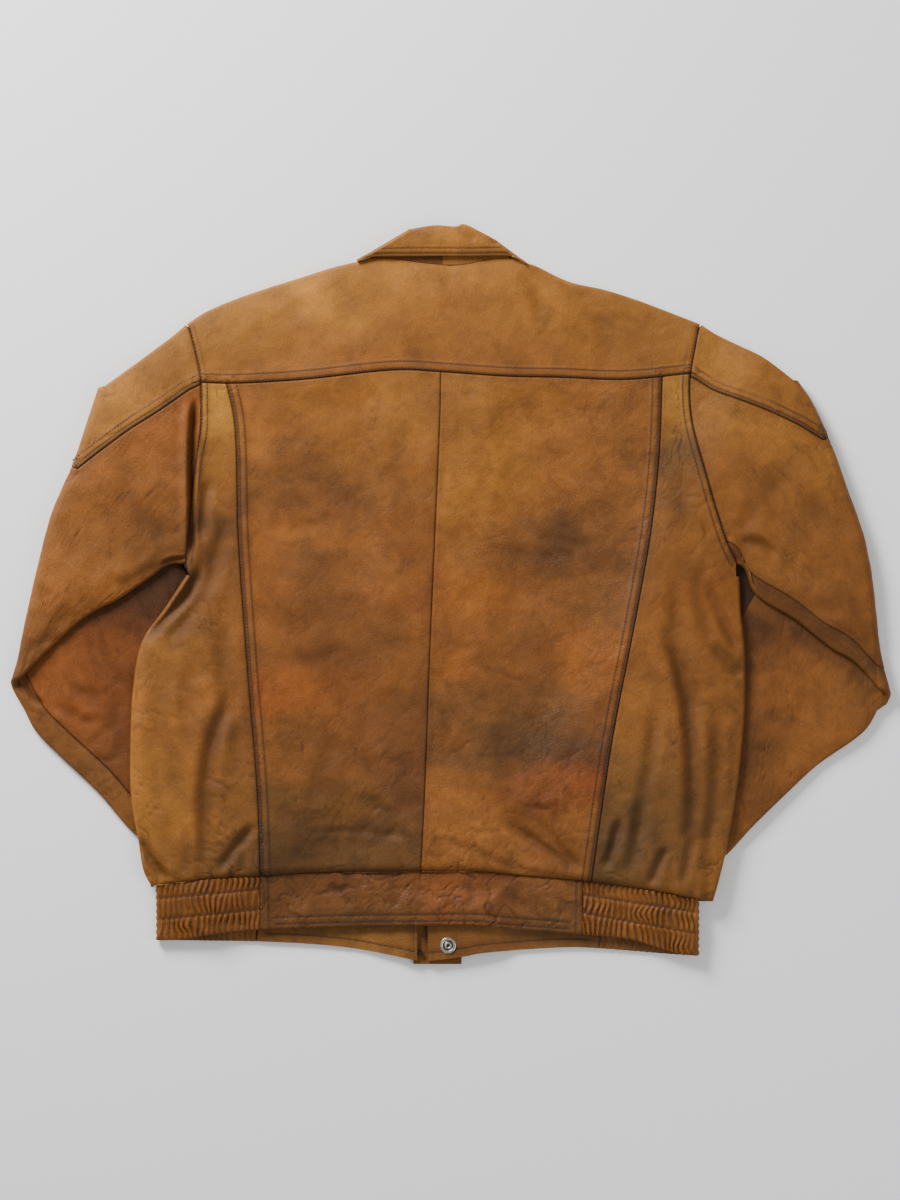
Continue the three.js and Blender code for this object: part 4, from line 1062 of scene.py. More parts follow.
FINISHES = {
    "tan": LeatherFinish("leather_tan"),
    "panel": LeatherFinish("leather_panel", roughness=0.54),
    "dark": LeatherFinish("leather_dark", roughness=0.55),
    "band": LeatherFinish("leather_band", roughness=0.44, wrinkle=0.9, mottle=0.26),
    "glossy": LeatherFinish("leather_panel_shiny", roughness=0.48, wrinkle=0.6, mottle=0.24),
    "thread": ThreadFinish(),
    "tape": TapeFinish(),
    "brass": MetalFinish("brass", (176, 140, 84), (112, 84, 48), roughness=0.32),
    "black": MetalFinish("black_metal", (52, 48, 44), (26, 23, 21), roughness=0.45, metallic=0.6),
    "snap": MetalFinish("snap_metal", (214, 208, 198), (150, 143, 132), roughness=0.22),
}


class Workshop:
    """Dresses finished pieces and hands them to the frame."""

    def __init__(self) -> None:
        """Makes every material once."""
        self.materials = {key: finish.make() for key, finish in FINISHES.items()}

    def dress(self, obj: bpy.types.Object, finish: str, *nodes: str) -> bpy.types.Object:
        """Gives a piece its material and slot, and sets it in place of its solids."""
        obj.data.materials.clear()
        obj.data.materials.append(self.materials[finish])
        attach(obj, "root")
        if nodes:
            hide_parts(*nodes)
        LOG.info("%s: %d faces", obj.name, len(obj.data.polygons))
        return obj

    def leather(self, shell: Shell, obj: bpy.types.Object, finish: str) -> bpy.types.Object:
        """Dresses a leather piece in place of its solid."""
        self.dress(obj, finish, shell.node)
        return obj

    def carry(self, node: str, finish: str) -> None:
        """Keeps a CAD node and gives it its finish."""
        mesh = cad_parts[node].data
        mesh.materials.clear()
        mesh.materials.append(self.materials[finish])


# ------------------------------------------------------------------ sleeves


class Sleeve:
    """A flattened tube folded under along its crease, with three pieces and a cuff."""

    ACROSS = 129
    PRESS = 0.5  # how much closer the crease presses the layers
    DROP = 16.0  # how far the forearm's corner lies below the upper arm's

    def __init__(self, half: Half) -> None:
        """Works out the middle surface row by row, from the armhole to the cuff."""
        self.half = half
        shares = np.linspace(0, 1, self.ACROSS)
        arm_rows = graded(105, 1.9, zone=8)
        crease_rows = np.linspace(0, 1, 15)[1:-1]
        fore_rows = np.linspace(0, 1, 96)
        over = beside(at(spline(half.overarm), arm_rows), half.out * -EDGE)
        under = beside(at(spline(half.underarm), arm_rows), half.out * EDGE)
        ridge = (SLEEVE_LIFT + HALF - FOREARM_HALF) / 2
        crease_z = WALL / 2 + FOREARM_HALF + ridge
        reach = ridge + (HALF + FOREARM_HALF) / 2 - self.PRESS + WALL / 2
        outline = at(spline(half.crease), shares)
        ways = left_normals(outline) * half.out
        upper = outline - ways * reach
        upper = upper + np.outer((1 - shares) ** 6, over[-1] - upper[0])
        upper = upper + np.outer(shares**6, under[-1] - upper[-1])
        down = (outline[-1] - outline[0]) / np.linalg.norm(outline[-1] - outline[0])
        lower = upper + np.outer(self.DROP * shares**3, down)
        armhole = at(spline(half.armhole), shares)
        armhole[:, 0] += half.out * SEAM / 2
        over[0], under[0] = armhole[0], armhole[-1]
        arm = coons(over, under, armhole, upper, arm_rows, shares).transpose(1, 0, 2)
        mid = [np.dstack([arm, middle(arm[..., 0], arm[..., 1])])]
        flat_up = np.zeros((len(arm_rows), self.ACROSS, 3)) + [0, 0, 1.0]
        ups, halves = [flat_up], [np.full(len(arm_rows), HALF)]
        rise = [np.ones(len(arm_rows))]
        turn = crease_rows[:, None, None] * math.pi
        rising = np.cos(turn) + np.zeros((1, self.ACROSS, 1))
        up = np.concatenate([ways[None] * np.sin(turn), rising], -1)
        plane = upper[None] + (lower - upper)[None] * crease_rows[:, None, None]
        base = np.dstack([plane, np.full(plane.shape[:2], crease_z)])
        mid.append(base + up * ridge)
        ups.append(up)
        pressed = self.PRESS * np.sin(crease_rows * math.pi)
        halves.append(HALF + (FOREARM_HALF - HALF) * crease_rows - pressed)
        rise.append(np.cos(crease_rows * math.pi / 2) ** 2)
        fore_edge = FOREARM_HALF + WALL / 2
        inner = beside(at(spline(half.inner), fore_rows), half.out * fore_edge)
        outer = beside(at(spline(half.forearm), fore_rows), half.out * -fore_edge)
        inner[0], outer[0] = lower[0], lower[-1]
        end = inner[-1] + np.outer(shares, outer[-1] - inner[-1])
        fore = coons(inner, outer, lower, end, fore_rows, shares).transpose(1, 0, 2)
        mid.append(np.dstack([fore, np.full(fore.shape[:2], WALL / 2 + FOREARM_HALF)]))
        ups.append(np.zeros((len(fore_rows), self.ACROSS, 3)) + [0, 0, -1.0])
        halves.append(np.full(len(fore_rows), FOREARM_HALF))
        rise.append(np.zeros(len(fore_rows)))
        self.arm_count, self.crease_count = len(arm_rows), len(crease_rows)
        self.mid, self.up = np.concatenate(mid), np.concatenate(ups)
        self.half_at, self.rise = np.concatenate(halves), np.concatenate(rise)
        self.fore = np.concatenate([np.zeros(self.arm_count), smooth(crease_rows * 2 - 1),
                                    np.ones(len(fore_rows))])
        self.width = np.linalg.norm(self.mid[:, 0] - self.mid[:, -1], axis=-1)
        where = np.linspace(0, 1, len(self.mid))
        arm_end = (self.arm_count + self.crease_count / 2) / len(self.mid)
        self.seam_at = np.interp(where, [0, arm_end, 1], half.over_seam)
        self.way = {"over": self._way(0, -1), "under": self._way(-1, 1)}

    def _way(self, end: int, sign: int) -> Array:
        """Directions out at one edge of the tube, square to its run and its up."""
        run = np.gradient(self.mid[:, end], axis=0)
        way = np.cross(run, self.up[:, end]) * sign * self.half.out
        return way / np.linalg.norm(way, axis=1, keepdims=True)

    def line_at(self, share: Array, rows: slice) -> Array:
        """Plane line of the middle surface at a share of the width on each row."""
        return self._across(self.mid, share[:, None])[rows, 0, :2]

    def _across(self, table: Array, share: Array) -> Array:
        """A table of rows read at a share of the width, rows by columns."""
        k = np.clip(share, 0, 1) * (self.ACROSS - 1)
        i = np.minimum(k.astype(int), self.ACROSS - 2)
        f = (k - i)[..., None]
        rows = np.arange(len(table))[:, None]
        return table[rows, i] * (1 - f) + table[rows, i + 1] * f

    def layer(self, layer: Layer, share: Array,
              reliefs: tuple[Relief, Relief]) -> tuple[Array, Array]:
        """Outer points of a layer at shares of the width, and their shading.

        The back layer of the arm swells and takes the arm's relief; on the forearm the front
        layer is on top and takes the forearm's.
        """
        mid, up = self._across(self.mid, share), self._across(self.up, share)
        up = up / np.linalg.norm(up, axis=-1, keepdims=True)
        x, y = mid[..., 0], mid[..., 1]
        shade = np.zeros(x.shape)
        grow = np.zeros(x.shape)
        if layer is Layer.BACK:
            dz, dark = reliefs[0].sample(x, y)
            weight = self.rise[:, None]
            grow, shade = (dz + swell(x, y)) * weight, dark * weight
        else:
            dz, dark = reliefs[1].sample(x, y)
            weight = self.fore[:, None]
            edge = np.minimum(share, 1 - share) * self.width[:, None]
            bulge = 2.2 * (1 - np.exp(-edge / 12))
            grow, shade = (dz + bulge) * weight, dark * weight
        radius = self.half_at[:, None] + WALL / 2 + grow
        return mid + up * (layer.value * radius)[..., None], shade

    def edge(self, name: str, angles: Array, reliefs: tuple[Relief, Relief]) -> tuple[Array, Array]:
        """Outer points round one edge of the tube, from the back layer at 0 to the front at pi."""
        end = 0 if name == "over" else -1
        mid, up, way = self.mid[:, end, None], self.up[:, end, None], self.way[name][:, None]
        x, y = mid[..., 0], mid[..., 1]
        back = (reliefs[0](x, y) + swell(x, y)) * self.rise[:, None]
        front = reliefs[1](x, y) * self.fore[:, None]
        r = (self.half_at[:, None] + WALL / 2)[..., None]
        c, s = np.cos(angles)[None, :, None], np.sin(angles)[None, :, None]
        grow = back[..., None] * (1 + c) / 2 - front[..., None] * (1 - c) / 2
        return mid + up * (r * c + grow) + way * r * s, np.zeros((len(mid), len(angles)))

    def build(self, shop: Workshop, reliefs: tuple[Relief, Relief]) -> None:
        """Makes the over-arm, back, front and cuff pieces."""
        name, gap = self.half.name, (SEAM / 2) / self.width
        body = slice(0, len(self.mid) - 6)
        seam, inset = self.seam_at, self.half.under_inset / self.width
        fine = graded(float(self.width[0]) * 0.7, 2.8, zone=6)
        narrow = graded(float(self.width[0]) * 0.26, 2.8, zone=6)
        turn = np.linspace(0, math.pi, TURN_STEPS)

        zero, one = np.zeros(len(seam)), np.ones(len(seam))
        over = side_by_side(
            body,
            self.layer(Layer.BACK, between(seam - gap, zero, narrow), reliefs),
            self.edge("over", turn, reliefs),
            self.layer(Layer.FRONT, between(zero, seam - gap, narrow), reliefs))
        back_round = self.half.under_wrap is Layer.BACK
        flat_layer = Layer.FRONT if back_round else Layer.BACK
        round_turn = turn if back_round else turn[::-1]
        wrapped = side_by_side(
            body,
            self.layer(self.half.under_wrap, between(seam + gap, one, fine), reliefs),
            self.edge("under", round_turn, reliefs),
            self.layer(flat_layer, between(one, 1 - inset + gap, np.linspace(0, 1, 10)), reliefs))
        flat = side_by_side(
            body, self.layer(flat_layer, between(seam + gap, 1 - inset - gap, fine), reliefs))
        pieces = {"over": over, "back": wrapped if back_round else flat,
                  "front": flat if back_round else wrapped}
        for kind, (points, shade) in pieces.items():
            shell = Shell().grid(points, shade)
            # the first rows are the upper arm, whose back layer faces up and front layer down
            up = 1.0 if kind != "front" else -1.0
            obj = shell.build(f"sleeve_{kind}_{name}", up, self._dye_and_shadow(kind))
            self._check_facing(obj)
            shop.leather(shell, obj, "tan" if kind == "over" else "panel")
        self._cuff(shop, reliefs)

    def _check_facing(self, obj: bpy.types.Object) -> None:
        """Stops if a piece's volume came out below zero, so that it faces inwards."""
        mesh = obj.data
        co = np.zeros(len(mesh.vertices) * 3, np.float32)
        mesh.vertices.foreach_get("co", co)
        ids = np.zeros(len(mesh.loops), np.int32)
        mesh.loops.foreach_get("vertex_index", ids)
        p = co.reshape(-1, 3).astype(float)[ids.reshape(-1, 3)]
        if np.einsum("ij,ij->i", p[:, 0], np.cross(p[:, 1], p[:, 2])).sum() < 0:
            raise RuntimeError(f"{obj.name} is inside out")

    def _dye_and_shadow(self, kind: str) -> Field:
        """Colour of a sleeve piece over the plane.

        The left back piece also shows on the forearm, below the under-arm seam, and the right
        front piece shows as a strip on the upper arm.
        """
        name = self.half.name
        if kind == "over":
            return DYES_AND_SHADOWS[f"over_{name}"]
        if (kind, name) == ("back", "right"):
            return DYES_AND_SHADOWS["arm_right"]
        if (kind, name) == ("front", "left"):
            return DYES_AND_SHADOWS["forearm_left"]
        if kind == "back":
            return blended(DYES_AND_SHADOWS["arm_left"], DYES_AND_SHADOWS["underside_left"],
                           lambda x, y: smooth((-92 - y) / 10 + 0.5))
        seam = self.line_at(1 - self.half.under_inset / self.width, slice(0, self.arm_count))
        return blended(DYES_AND_SHADOWS["strip_right"], DYES_AND_SHADOWS["forearm_right"],
                       lambda x, y: smooth((np.interp(x, seam[:, 0], seam[:, 1]) - 34 - y) / 8))

    def _cuff(self, shop: Workshop, reliefs: tuple[Relief, Relief]) -> None:
        """Makes the cuff: once round the tube's last rows, with its seam by the lower edge."""
        rows = slice(len(self.mid) - 5, len(self.mid))
        inset = 12 / self.width
        turn = np.linspace(0, math.pi, TURN_STEPS)
        steps = np.linspace(0, 1, 18)
        zero, one = np.zeros(len(self.mid)), np.ones(len(self.mid))
        points, _ = side_by_side(
            rows,
            self.layer(Layer.BACK, between(1 - inset - SEAM / self.width, zero, steps), reliefs),
            self.edge("over", turn, reliefs),
            self.layer(Layer.FRONT, between(zero, one, steps), reliefs),
            self.edge("under", turn[::-1], reliefs),
            self.layer(Layer.BACK, between(one, 1 - inset, np.linspace(0, 1, 4)), reliefs))
        shell = Shell().grid(points)
        obj = shell.build(f"cuff_{self.half.name}", -1, DYES_AND_SHADOWS["hidden"])
        shop.leather(shell, obj, "band")


def between(first: Array, second: Array, steps: Array) -> Array:
    """Values from one to the other in steps, one row for each pair."""
    return first[:, None] + (second - first)[:, None] * steps[None]


def side_by_side(rows: slice, *parts: tuple[Array, Array]) -> tuple[Array, Array]:
    """Rows of points and shades of parts laid side by side, without doubled columns."""
    points, shade = (
        np.concatenate([part[k] if part is parts[0] else part[k][:, 1:] for part in parts], 1)
        for k in (0, 1))
    return points[rows], shade[rows]


def blended(first: DyeAndShadow, second: DyeAndShadow, share: Callable[[Array, Array], Array]) -> Field:
    """Two spot colourings mixed by a share over the plane."""

    def colour(x: Array, y: Array) -> Array:
        """Linear colour at points of the plane."""
        part = share(x, y)[..., None]
        return first(x, y) * (1 - part) + second(x, y) * part

    return colour


# ------------------------------------------------------------------ folds and puckers of the back


BACK_FOLDS = (
    # left side panel, gathered into its elastic
    Fold(((-214, -86), (-240, -160), (-243, -262), (-234, -282)), 7, 2.6),
    Fold(((-193, -228), (-215, -252), (-234, -280)), 5, 1.9),
    Fold(((-258, -66), (-266, -120), (-262, -160)), 8, 1.1),
    Fold(((-310, -240), (-303, -258), (-282, -288)), 5, 2.2),
    Fold(((-264, -230), (-262, -262), (-268, -284)), 5, 1.2),
    Fold(((-205, -240), (-208, -266), (-204, -282)), 4, 1.2),
    Fold(((-290, -60), (-288, -120), (-276, -180), (-262, -230)), 9, 1.3),
    Fold(((-224, -20), (-226, -80), (-216, -140), (-206, -190)), 8, 1.3),
    Fold(((-300, -120), (-296, -180), (-286, -240)), 8, 1.0),
    # tube of leather that runs down from the left armpit
    Fold(((-246, 36), (-262, 2), (-292, -30), (-309, -48)), 5.5, 3.0),
    Fold(((-258, 26), (-276, -6), (-300, -34)), 5.5, -2.6),
    Fold(((-232, 60), (-240, 20), (-262, -22), (-286, -52)), 9, 1.5),
    Fold(((-222, 84), (-232, 40), (-236, 4)), 7, 1.2),
    Fold(((-240, 120), (-246, 84), (-248, 52)), 6, 1.6),
    # centre panels, pulled towards the ends of the elastics
    Fold(((-152, -237), (-100, -236), (-60, -240), (-24, -246)), 3.4, 0.9),
    Fold(((-24, -244), (14, -252), (62, -272), (120, -284)), 4, 1.2),
    Fold(((44, -224), (84, -246), (132, -280)), 4.5, 1.7),
    Fold(((84, -220), (104, -246), (132, -276)), 4, 1.4),
    Fold(((58, -206), (88, -214), (112, -208)), 3, 0.7),
    Fold(((70, -196), (96, -222)), 2.6, 0.6),
    Fold(((-4, -54), (18, -52), (44, -58)), 5, 0.5),
    Fold(((-166, 62), (-140, 70), (-104, 74)), 7, 0.5),
    Fold(((-60, 120), (-40, 96), (-34, 66)), 6, 0.6),
    Fold(((30, 46), (80, 40), (140, 42)), 6, 0.8),
    Fold(((84, 60), (110, 52), (150, 50)), 5, 0.8),
    Fold(((-176, -60), (-140, -66), (-100, -52)), 7, 0.7),
    Fold(((-90, -196), (-60, -222), (-56, -250)), 6, 0.9),
    Fold(((-186, -210), (-150, -226), (-110, -222)), 6, 0.7),
    # right side panel
    Fold(((208, -14), (228, -74), (239, -138), (241, -204), (236, -272)), 7, 2.8),
    Fold(((254, 14), (270, -22), (288, -58)), 6, 2.0),
    Fold(((246, 30), (250, -10), (262, -60)), 8, 1.3),
    Fold(((260, -46), (276, -66), (291, -84)), 6, 1.6),
    Fold(((169, -220), (164, -244), (154, -276)), 5, 2.3),
    Fold(((198, -292), (206, -272), (216, -250)), 5, 2.0),
    Fold(((188, -200), (186, -240), (176, -284)), 6, 1.4),
    Fold(((262, -210), (258, -250), (250, -290)), 7, 1.2),
    Fold(((226, 130), (232, 90), (230, 50)), 8, 1.0),
    Fold(((224, 30), (226, -20), (236, -80), (252, -140)), 8, 1.4),
    Fold(((262, -110), (266, -160), (262, -210), (254, -262)), 8, 1.5),
    Fold(((204, -100), (200, -160), (190, -214), (186, -262)), 7, 1.6),
    Fold(((280, -120), (282, -170), (276, -220)), 6, 1.1),
    Fold(((244, -236), (236, -268), (228, -292)), 5, 1.3),
    Fold(((252, -100), (256, -150), (250, -190)), 8, -1.2),
    # yoke
    Fold(((82, 296), (90, 280), (103, 264)), 7, 1.2),
    Fold(((77, 305), (84, 290), (93, 277)), 6, 0.9),
    Fold(((-180, -120), (-120, -150), (-60, -190), (-30, -240)), 9, 0.9),
    Fold(((-100, -130), (-130, -180), (-140, -250)), 8, 0.8),
    Fold(((0, -170), (40, -210), (100, -250)), 8, 0.9),
    Fold(((140, -120), (110, -180), (60, -236)), 9, 0.8),
    Fold(((-80, -250), (-50, -236), (-30, -262)), 5, 0.9),
    Fold(((143, 283), (152, 258), (164, 232)), 8, 1.2),
    Fold(((106, 314), (122, 300), (140, 296)), 5, 1.0),
    Fold(((196, 280), (206, 268), (214, 262)), 5, 0.8),
    # left upper arm: a long fold beside the armhole, gathers at the pit, soft bends
    Fold(((-254.5, 198), (-257, 150), (-257.5, 96), (-258.5, 34)), 3.2, 3.2, 0.12),
    Fold(((-263, 196), (-264.5, 140), (-264, 80), (-263, 40)), 4.2, -1.8, 0.15),
    Fold(((-290, 28), (-278, 34), (-262, 36)), 2.4, 1.6),
    Fold(((-286, 21), (-276, 24), (-262, 26)), 2.0, 1.2),
    Fold(((-292, 40), (-310, 28), (-340, 16)), 6, -1.6),
    Fold(((-280, 50), (-300, 70), (-318, 96)), 9, 1.2),
    Fold(((-330, 150), (-322, 120), (-326, 84)), 9, 0.9),
    Fold(((-300, 44), (-330, 30), (-360, 2)), 7, -0.9),
    Fold(((-395, 76), (-380, 56), (-376, 30)), 8, 0.9),
    Fold(((-428, -60), (-408, -48), (-384, -46)), 5, 0.9),
    Fold(((-372, -14), (-392, -30), (-420, -66)), 6, 1.0),
    # right upper arm
    Fold(((287, 45), (296, 53), (316, 46), (326, 34)), 5, 1.6),
    Fold(((288, 54), (300, 62), (322, 54)), 6, -1.2),
    Fold(((304, 96), (296, 74), (290, 56)), 7, 1.2),
    Fold(((330, 120), (318, 96), (322, 64)), 8, 1.0),
    Fold(((402, 60), (380, 72), (352, 100)), 9, 0.9),
    Fold(((340, 20), (362, 2), (392, -12)), 7, -1.2),
    Fold(((396, 6), (412, -30), (420, -60)), 6, 1.0),
    Fold(((420, -66), (404, -44), (384, -34)), 5, 1.0),
)
FOREARM_FOLDS = {
    "left": (
        Fold(((-350, -44), (-340, -70), (-326, -96)), 5, 1.1),
        Fold(((-362, -40), (-352, -72), (-340, -88)), 4, 0.9),
        Fold(((-400, -106), (-380, -120), (-350, -130)), 4.5, 1.2),
        Fold(((-394, -92), (-372, -112), (-352, -138)), 4, -1.0),
        Fold(((-336, -130), (-356, -146), (-366, -158)), 4, 0.9),
        Fold(((-428, -84), (-418, -102), (-404, -112)), 3.5, 1.6),
        Fold(((-330, -96), (-336, -130), (-326, -170)), 7, 0.9),
        Fold(((-384, -84), (-366, -100), (-344, -104)), 3.6, 0.8),
        Fold(((-376, -128), (-360, -118), (-340, -122)), 3.6, -0.8),
        Fold(((-356, -160), (-342, -166), (-328, -160)), 3.6, 0.8),
    ),
    "right": (
        Fold(((428, -70), (414, -84), (404, -104)), 5, 1.0),
        Fold(((420, -66), (404, -80), (396, -96)), 5, 0.8),
        Fold(((434, -92), (420, -98), (410, -112)), 4, 0.8),
        Fold(((372, -80), (368, -110), (374, -140)), 8, 0.7),
        Fold(((320, -70), (316, -110), (308, -150)), 9, -0.9),
        Fold(((344, -70), (352, -96), (350, -130)), 7, 0.6),
    ),
}


def back_crumple(x: Array, y: Array) -> Array:
    """How creased the back is: most towards the hem and on the sleeves, least on the yoke."""
    low = smooth((-60 - y) / 180)
    wide = smooth((np.abs(x + 5) - 195) / 40)
    yoke = smooth((y - 190) / 40)
    return (0.4 + 0.55 * low + 0.35 * wide) * (1 - 0.7 * yoke)


class Puckers:
    """Small gathers where the body is drawn into the hem band."""

    def __init__(self) -> None:
        """Makes the noises."""
        self.noise = (Noise(41), Noise(42))

    def __call__(self, x: Array, y: Array) -> Array:
        """Upright ripples that fade upwards: strong over the elastics and slight between."""
        up = y - height_at(HEM_SEAM, x)
        elastic = smooth((-185 - x) / 20) + smooth((x - 140) / 20)
        size = (0.45 + 1.0 * elastic) * np.exp(-np.clip(up, 0, None) / 26) * (up > -1)
        sway = 5 * self.noise[1](x / 40, y / 30)
        ripple = 1.3 * self.noise[0]((x + sway) / 7.5, y / 60)
        return size * (ripple + 0.5 * self.noise[1](x / 4, y / 30))


# ------------------------------------------------------------------ body


class Body:
    """The back panels, side panels, yoke and the two fronts beneath."""

    def __init__(self, relief: Relief) -> None:
        """Keeps the relief of the back."""
        self.relief = relief

    def build(self, shop: Workshop) -> None:
        """Makes the back's panels, then the fronts under them."""
        self.centre_panels(shop)
        self.side_panels(shop)
        self.yoke(shop)
        self.fronts(shop)

    def raise_back(self, plane: Array) -> tuple[Array, Array]:
        """Back layer's outer points over plane points, and their shading."""
        x, y = plane[..., 0], plane[..., 1]
        dz, dark = self.relief.sample(x, y)
        z = lift(x, y) + BACK_TOP + swell(x, y) + dz
        return np.dstack([plane, z]), dark

    def turn_under(self, border: Array, outward: Array, tail: float) -> Array:
        """Strip that goes round a fold from a border of the back layer, then on under it.

        Each cross-section is half an ellipse from the back layer's height down to the surface
        below, and a straight tail.

        Args:
            border: outer points of the back layer over the fold's axis.
            outward: the way out at each of them, in the plane.
            tail: how far it goes on under.

        Returns:
            Border points by steps by three.
        """
        floor = lift(border[:, 0], border[:, 1])
        angle = np.linspace(0, math.pi, TURN_STEPS)[None, :, None]
        centre = ((border[:, 2] + floor) / 2)[:, None, None]
        tall = ((border[:, 2] - floor) / 2)[:, None, None]
        flat = border[:, None, :2] + outward[:, None] * (EDGE * np.sin(angle))
        round_ = np.concatenate([flat, centre + tall * np.cos(angle)], -1)
        runs = np.linspace(0, tail, 4)[1:]
        under = border[:, None, :2] - outward[:, None] * runs[None, :, None]
        low = lift(under[..., 0], under[..., 1])[..., None]
        return np.concatenate([round_, np.concatenate([under, low], -1)], axis=1)

    def centre_panels(self, shop: Workshop) -> None:
        """The two centre back panels, between the princess seams."""
        gap = np.array([SEAM / 2, 0])
        for name, left, right in (("left", PRINCESS["left"] + gap, CENTRE_SEAM - gap),
                                  ("right", CENTRE_SEAM + gap, PRINCESS["right"] - gap)):
            u, v = graded(190, 2.5), graded(498, 2.5)
            low, high = (left[k, 0] + u * (right[k, 0] - left[k, 0]) for k in (0, -1))
            bottom = along(HEM_SEAM, low) + [0, SEAM / 2]
            top = along(YOKE_SEAM, high) - [0, SEAM / 2]
            a, b = at(left, v), at(right, v)
            a[0], a[-1], b[0], b[-1] = bottom[0], top[0], bottom[-1], top[-1]
            shell = Shell().grid(*self.raise_back(coons(bottom, top, a, b, u, v)))
            obj = shell.build(f"back_centre_{name}", 1, DYES_AND_SHADOWS[f"centre_{name}"])
            shop.leather(shell, obj, "panel" if name == "left" else "glossy")

    def side_panels(self, shop: Workshop) -> None:
        """The side back panels, which go round the sides below the armpits."""
        for h in HALVES:
            axis = beside(at(spline(h.side), np.linspace(0, 1, 200)), h.out * EDGE)
            armhole = spline(h.armhole) - [h.out * SEAM / 2, 0]
            seam_y = height_at(YOKE_SEAM, np.array(armhole[60, 0]))
            keep = armhole[armhole[:, 1] < seam_y - SEAM / 2]
            edge = np.vstack([axis, keep[::-1][1:]])
            princess = PRINCESS[h.name] + [h.out * SEAM / 2, 0]
            below = length_of(axis) / length_of(edge)
            v = graded(500)
            v = np.sort(np.append(v[np.abs(v - below) > 0.002], below))
            u = graded(95, zone=8)
            side = at(edge, v)
            seam = at(princess, v)
            low = seam[0, 0] + u * (side[0, 0] - seam[0, 0])
            high = seam[-1, 0] + u * (side[-1, 0] - seam[-1, 0])
            bottom = np.stack([low, height_at(HEM_SEAM, low) + SEAM / 2], -1)
            top = np.stack([high, height_at(YOKE_SEAM, high) - SEAM / 2], -1)
            side[0], side[-1], seam[0], seam[-1] = bottom[-1], top[-1], bottom[0], top[0]
            grid, dark = self.raise_back(coons(bottom, top, seam, side, u, v))
            pit = int(np.argmin(np.abs(v - below)))
            border = grid[: pit + 1, -1]
            outward = left_normals(border[:, :2]) * -h.out
            outward[0] = (h.out, 0)
            strip = self.turn_under(border, outward, 12)
            shell = Shell().grid(grid, dark).grid(strip)
            obj = shell.build(f"back_side_{h.name}", 1, DYES_AND_SHADOWS[f"side_{h.name}"])
            shop.leather(shell, obj, "tan")

    def yoke(self, shop: Workshop) -> None:
        """The yoke, over both shoulders and on to the front, open at the neck."""
        sides = []
        for h in HALVES:
            armhole = spline(h.armhole) - [h.out * SEAM / 2, 0]
            seam_y = height_at(YOKE_SEAM, np.array(armhole[60, 0]))
            sides.append(armhole[armhole[:, 1] > seam_y + SEAM / 2][::-1])
        shoulders = [beside(spline(h.shoulder), h.out * -EDGE) for h in HALVES]
        left_run, right_run = shoulders[0][::-1], shoulders[1]
        counts = (64, 60, 64)
        left_part = at(left_run, np.linspace(0, 1, counts[0]))
        right_part = at(right_run, np.linspace(0, 1, counts[2]))
        neck_x = np.linspace(left_run[-1, 0], right_run[0, 0], counts[1])
        neck = along(NECK_SEAM, neck_x) - [0, 0.4]
        neck[0], neck[-1] = left_part[-1], right_part[0]
        blend = np.clip(np.minimum(neck_x - neck_x[0], neck_x[-1] - neck_x) / 16, 0, 1)
        ends = np.interp(neck_x, [neck_x[0], neck_x[-1]], [left_part[-1, 1], right_part[0, 1]])
        neck[:, 1] = neck[:, 1] * smooth(blend) + ends * (1 - smooth(blend))
        top = np.vstack([left_part, neck[1:], right_part[1:]])
        share = np.concatenate([[0], np.cumsum(np.linalg.norm(np.diff(top, axis=0), axis=1))])
        u = share / share[-1]
        x = sides[0][0, 0] + u * (sides[1][0, 0] - sides[0][0, 0])
        bottom = along(YOKE_SEAM, x) + [0, SEAM / 2]
        v = graded(105, zone=10)
        left, right = at(sides[0], v), at(sides[1], v)
        left[0], right[0], left[-1], right[-1] = bottom[0], bottom[-1], top[0], top[-1]
        grid, dark = self.raise_back(coons(bottom, top, left, right, u, v))
        shell = Shell().grid(grid, dark)
        crown = grid[-1]
        ways = left_normals(crown[:, :2])
        fade = np.linspace(0.9, 0, 9)  # the turn dies out towards the neck
        for part, taper in (
            (slice(0, counts[0] + 9), np.r_[np.ones(counts[0]), fade]),
            (slice(counts[0] + counts[1] - 11, None), np.r_[fade[::-1], np.ones(counts[2])]),
        ):
            strip = self.turn_under(crown[part], ways[part] * taper[:, None], 12)
            shell.grid(strip.transpose(1, 0, 2))
        obj = shell.build("yoke_back", 1, DYES_AND_SHADOWS["yoke"])
        shop.leather(shell, obj, "tan")

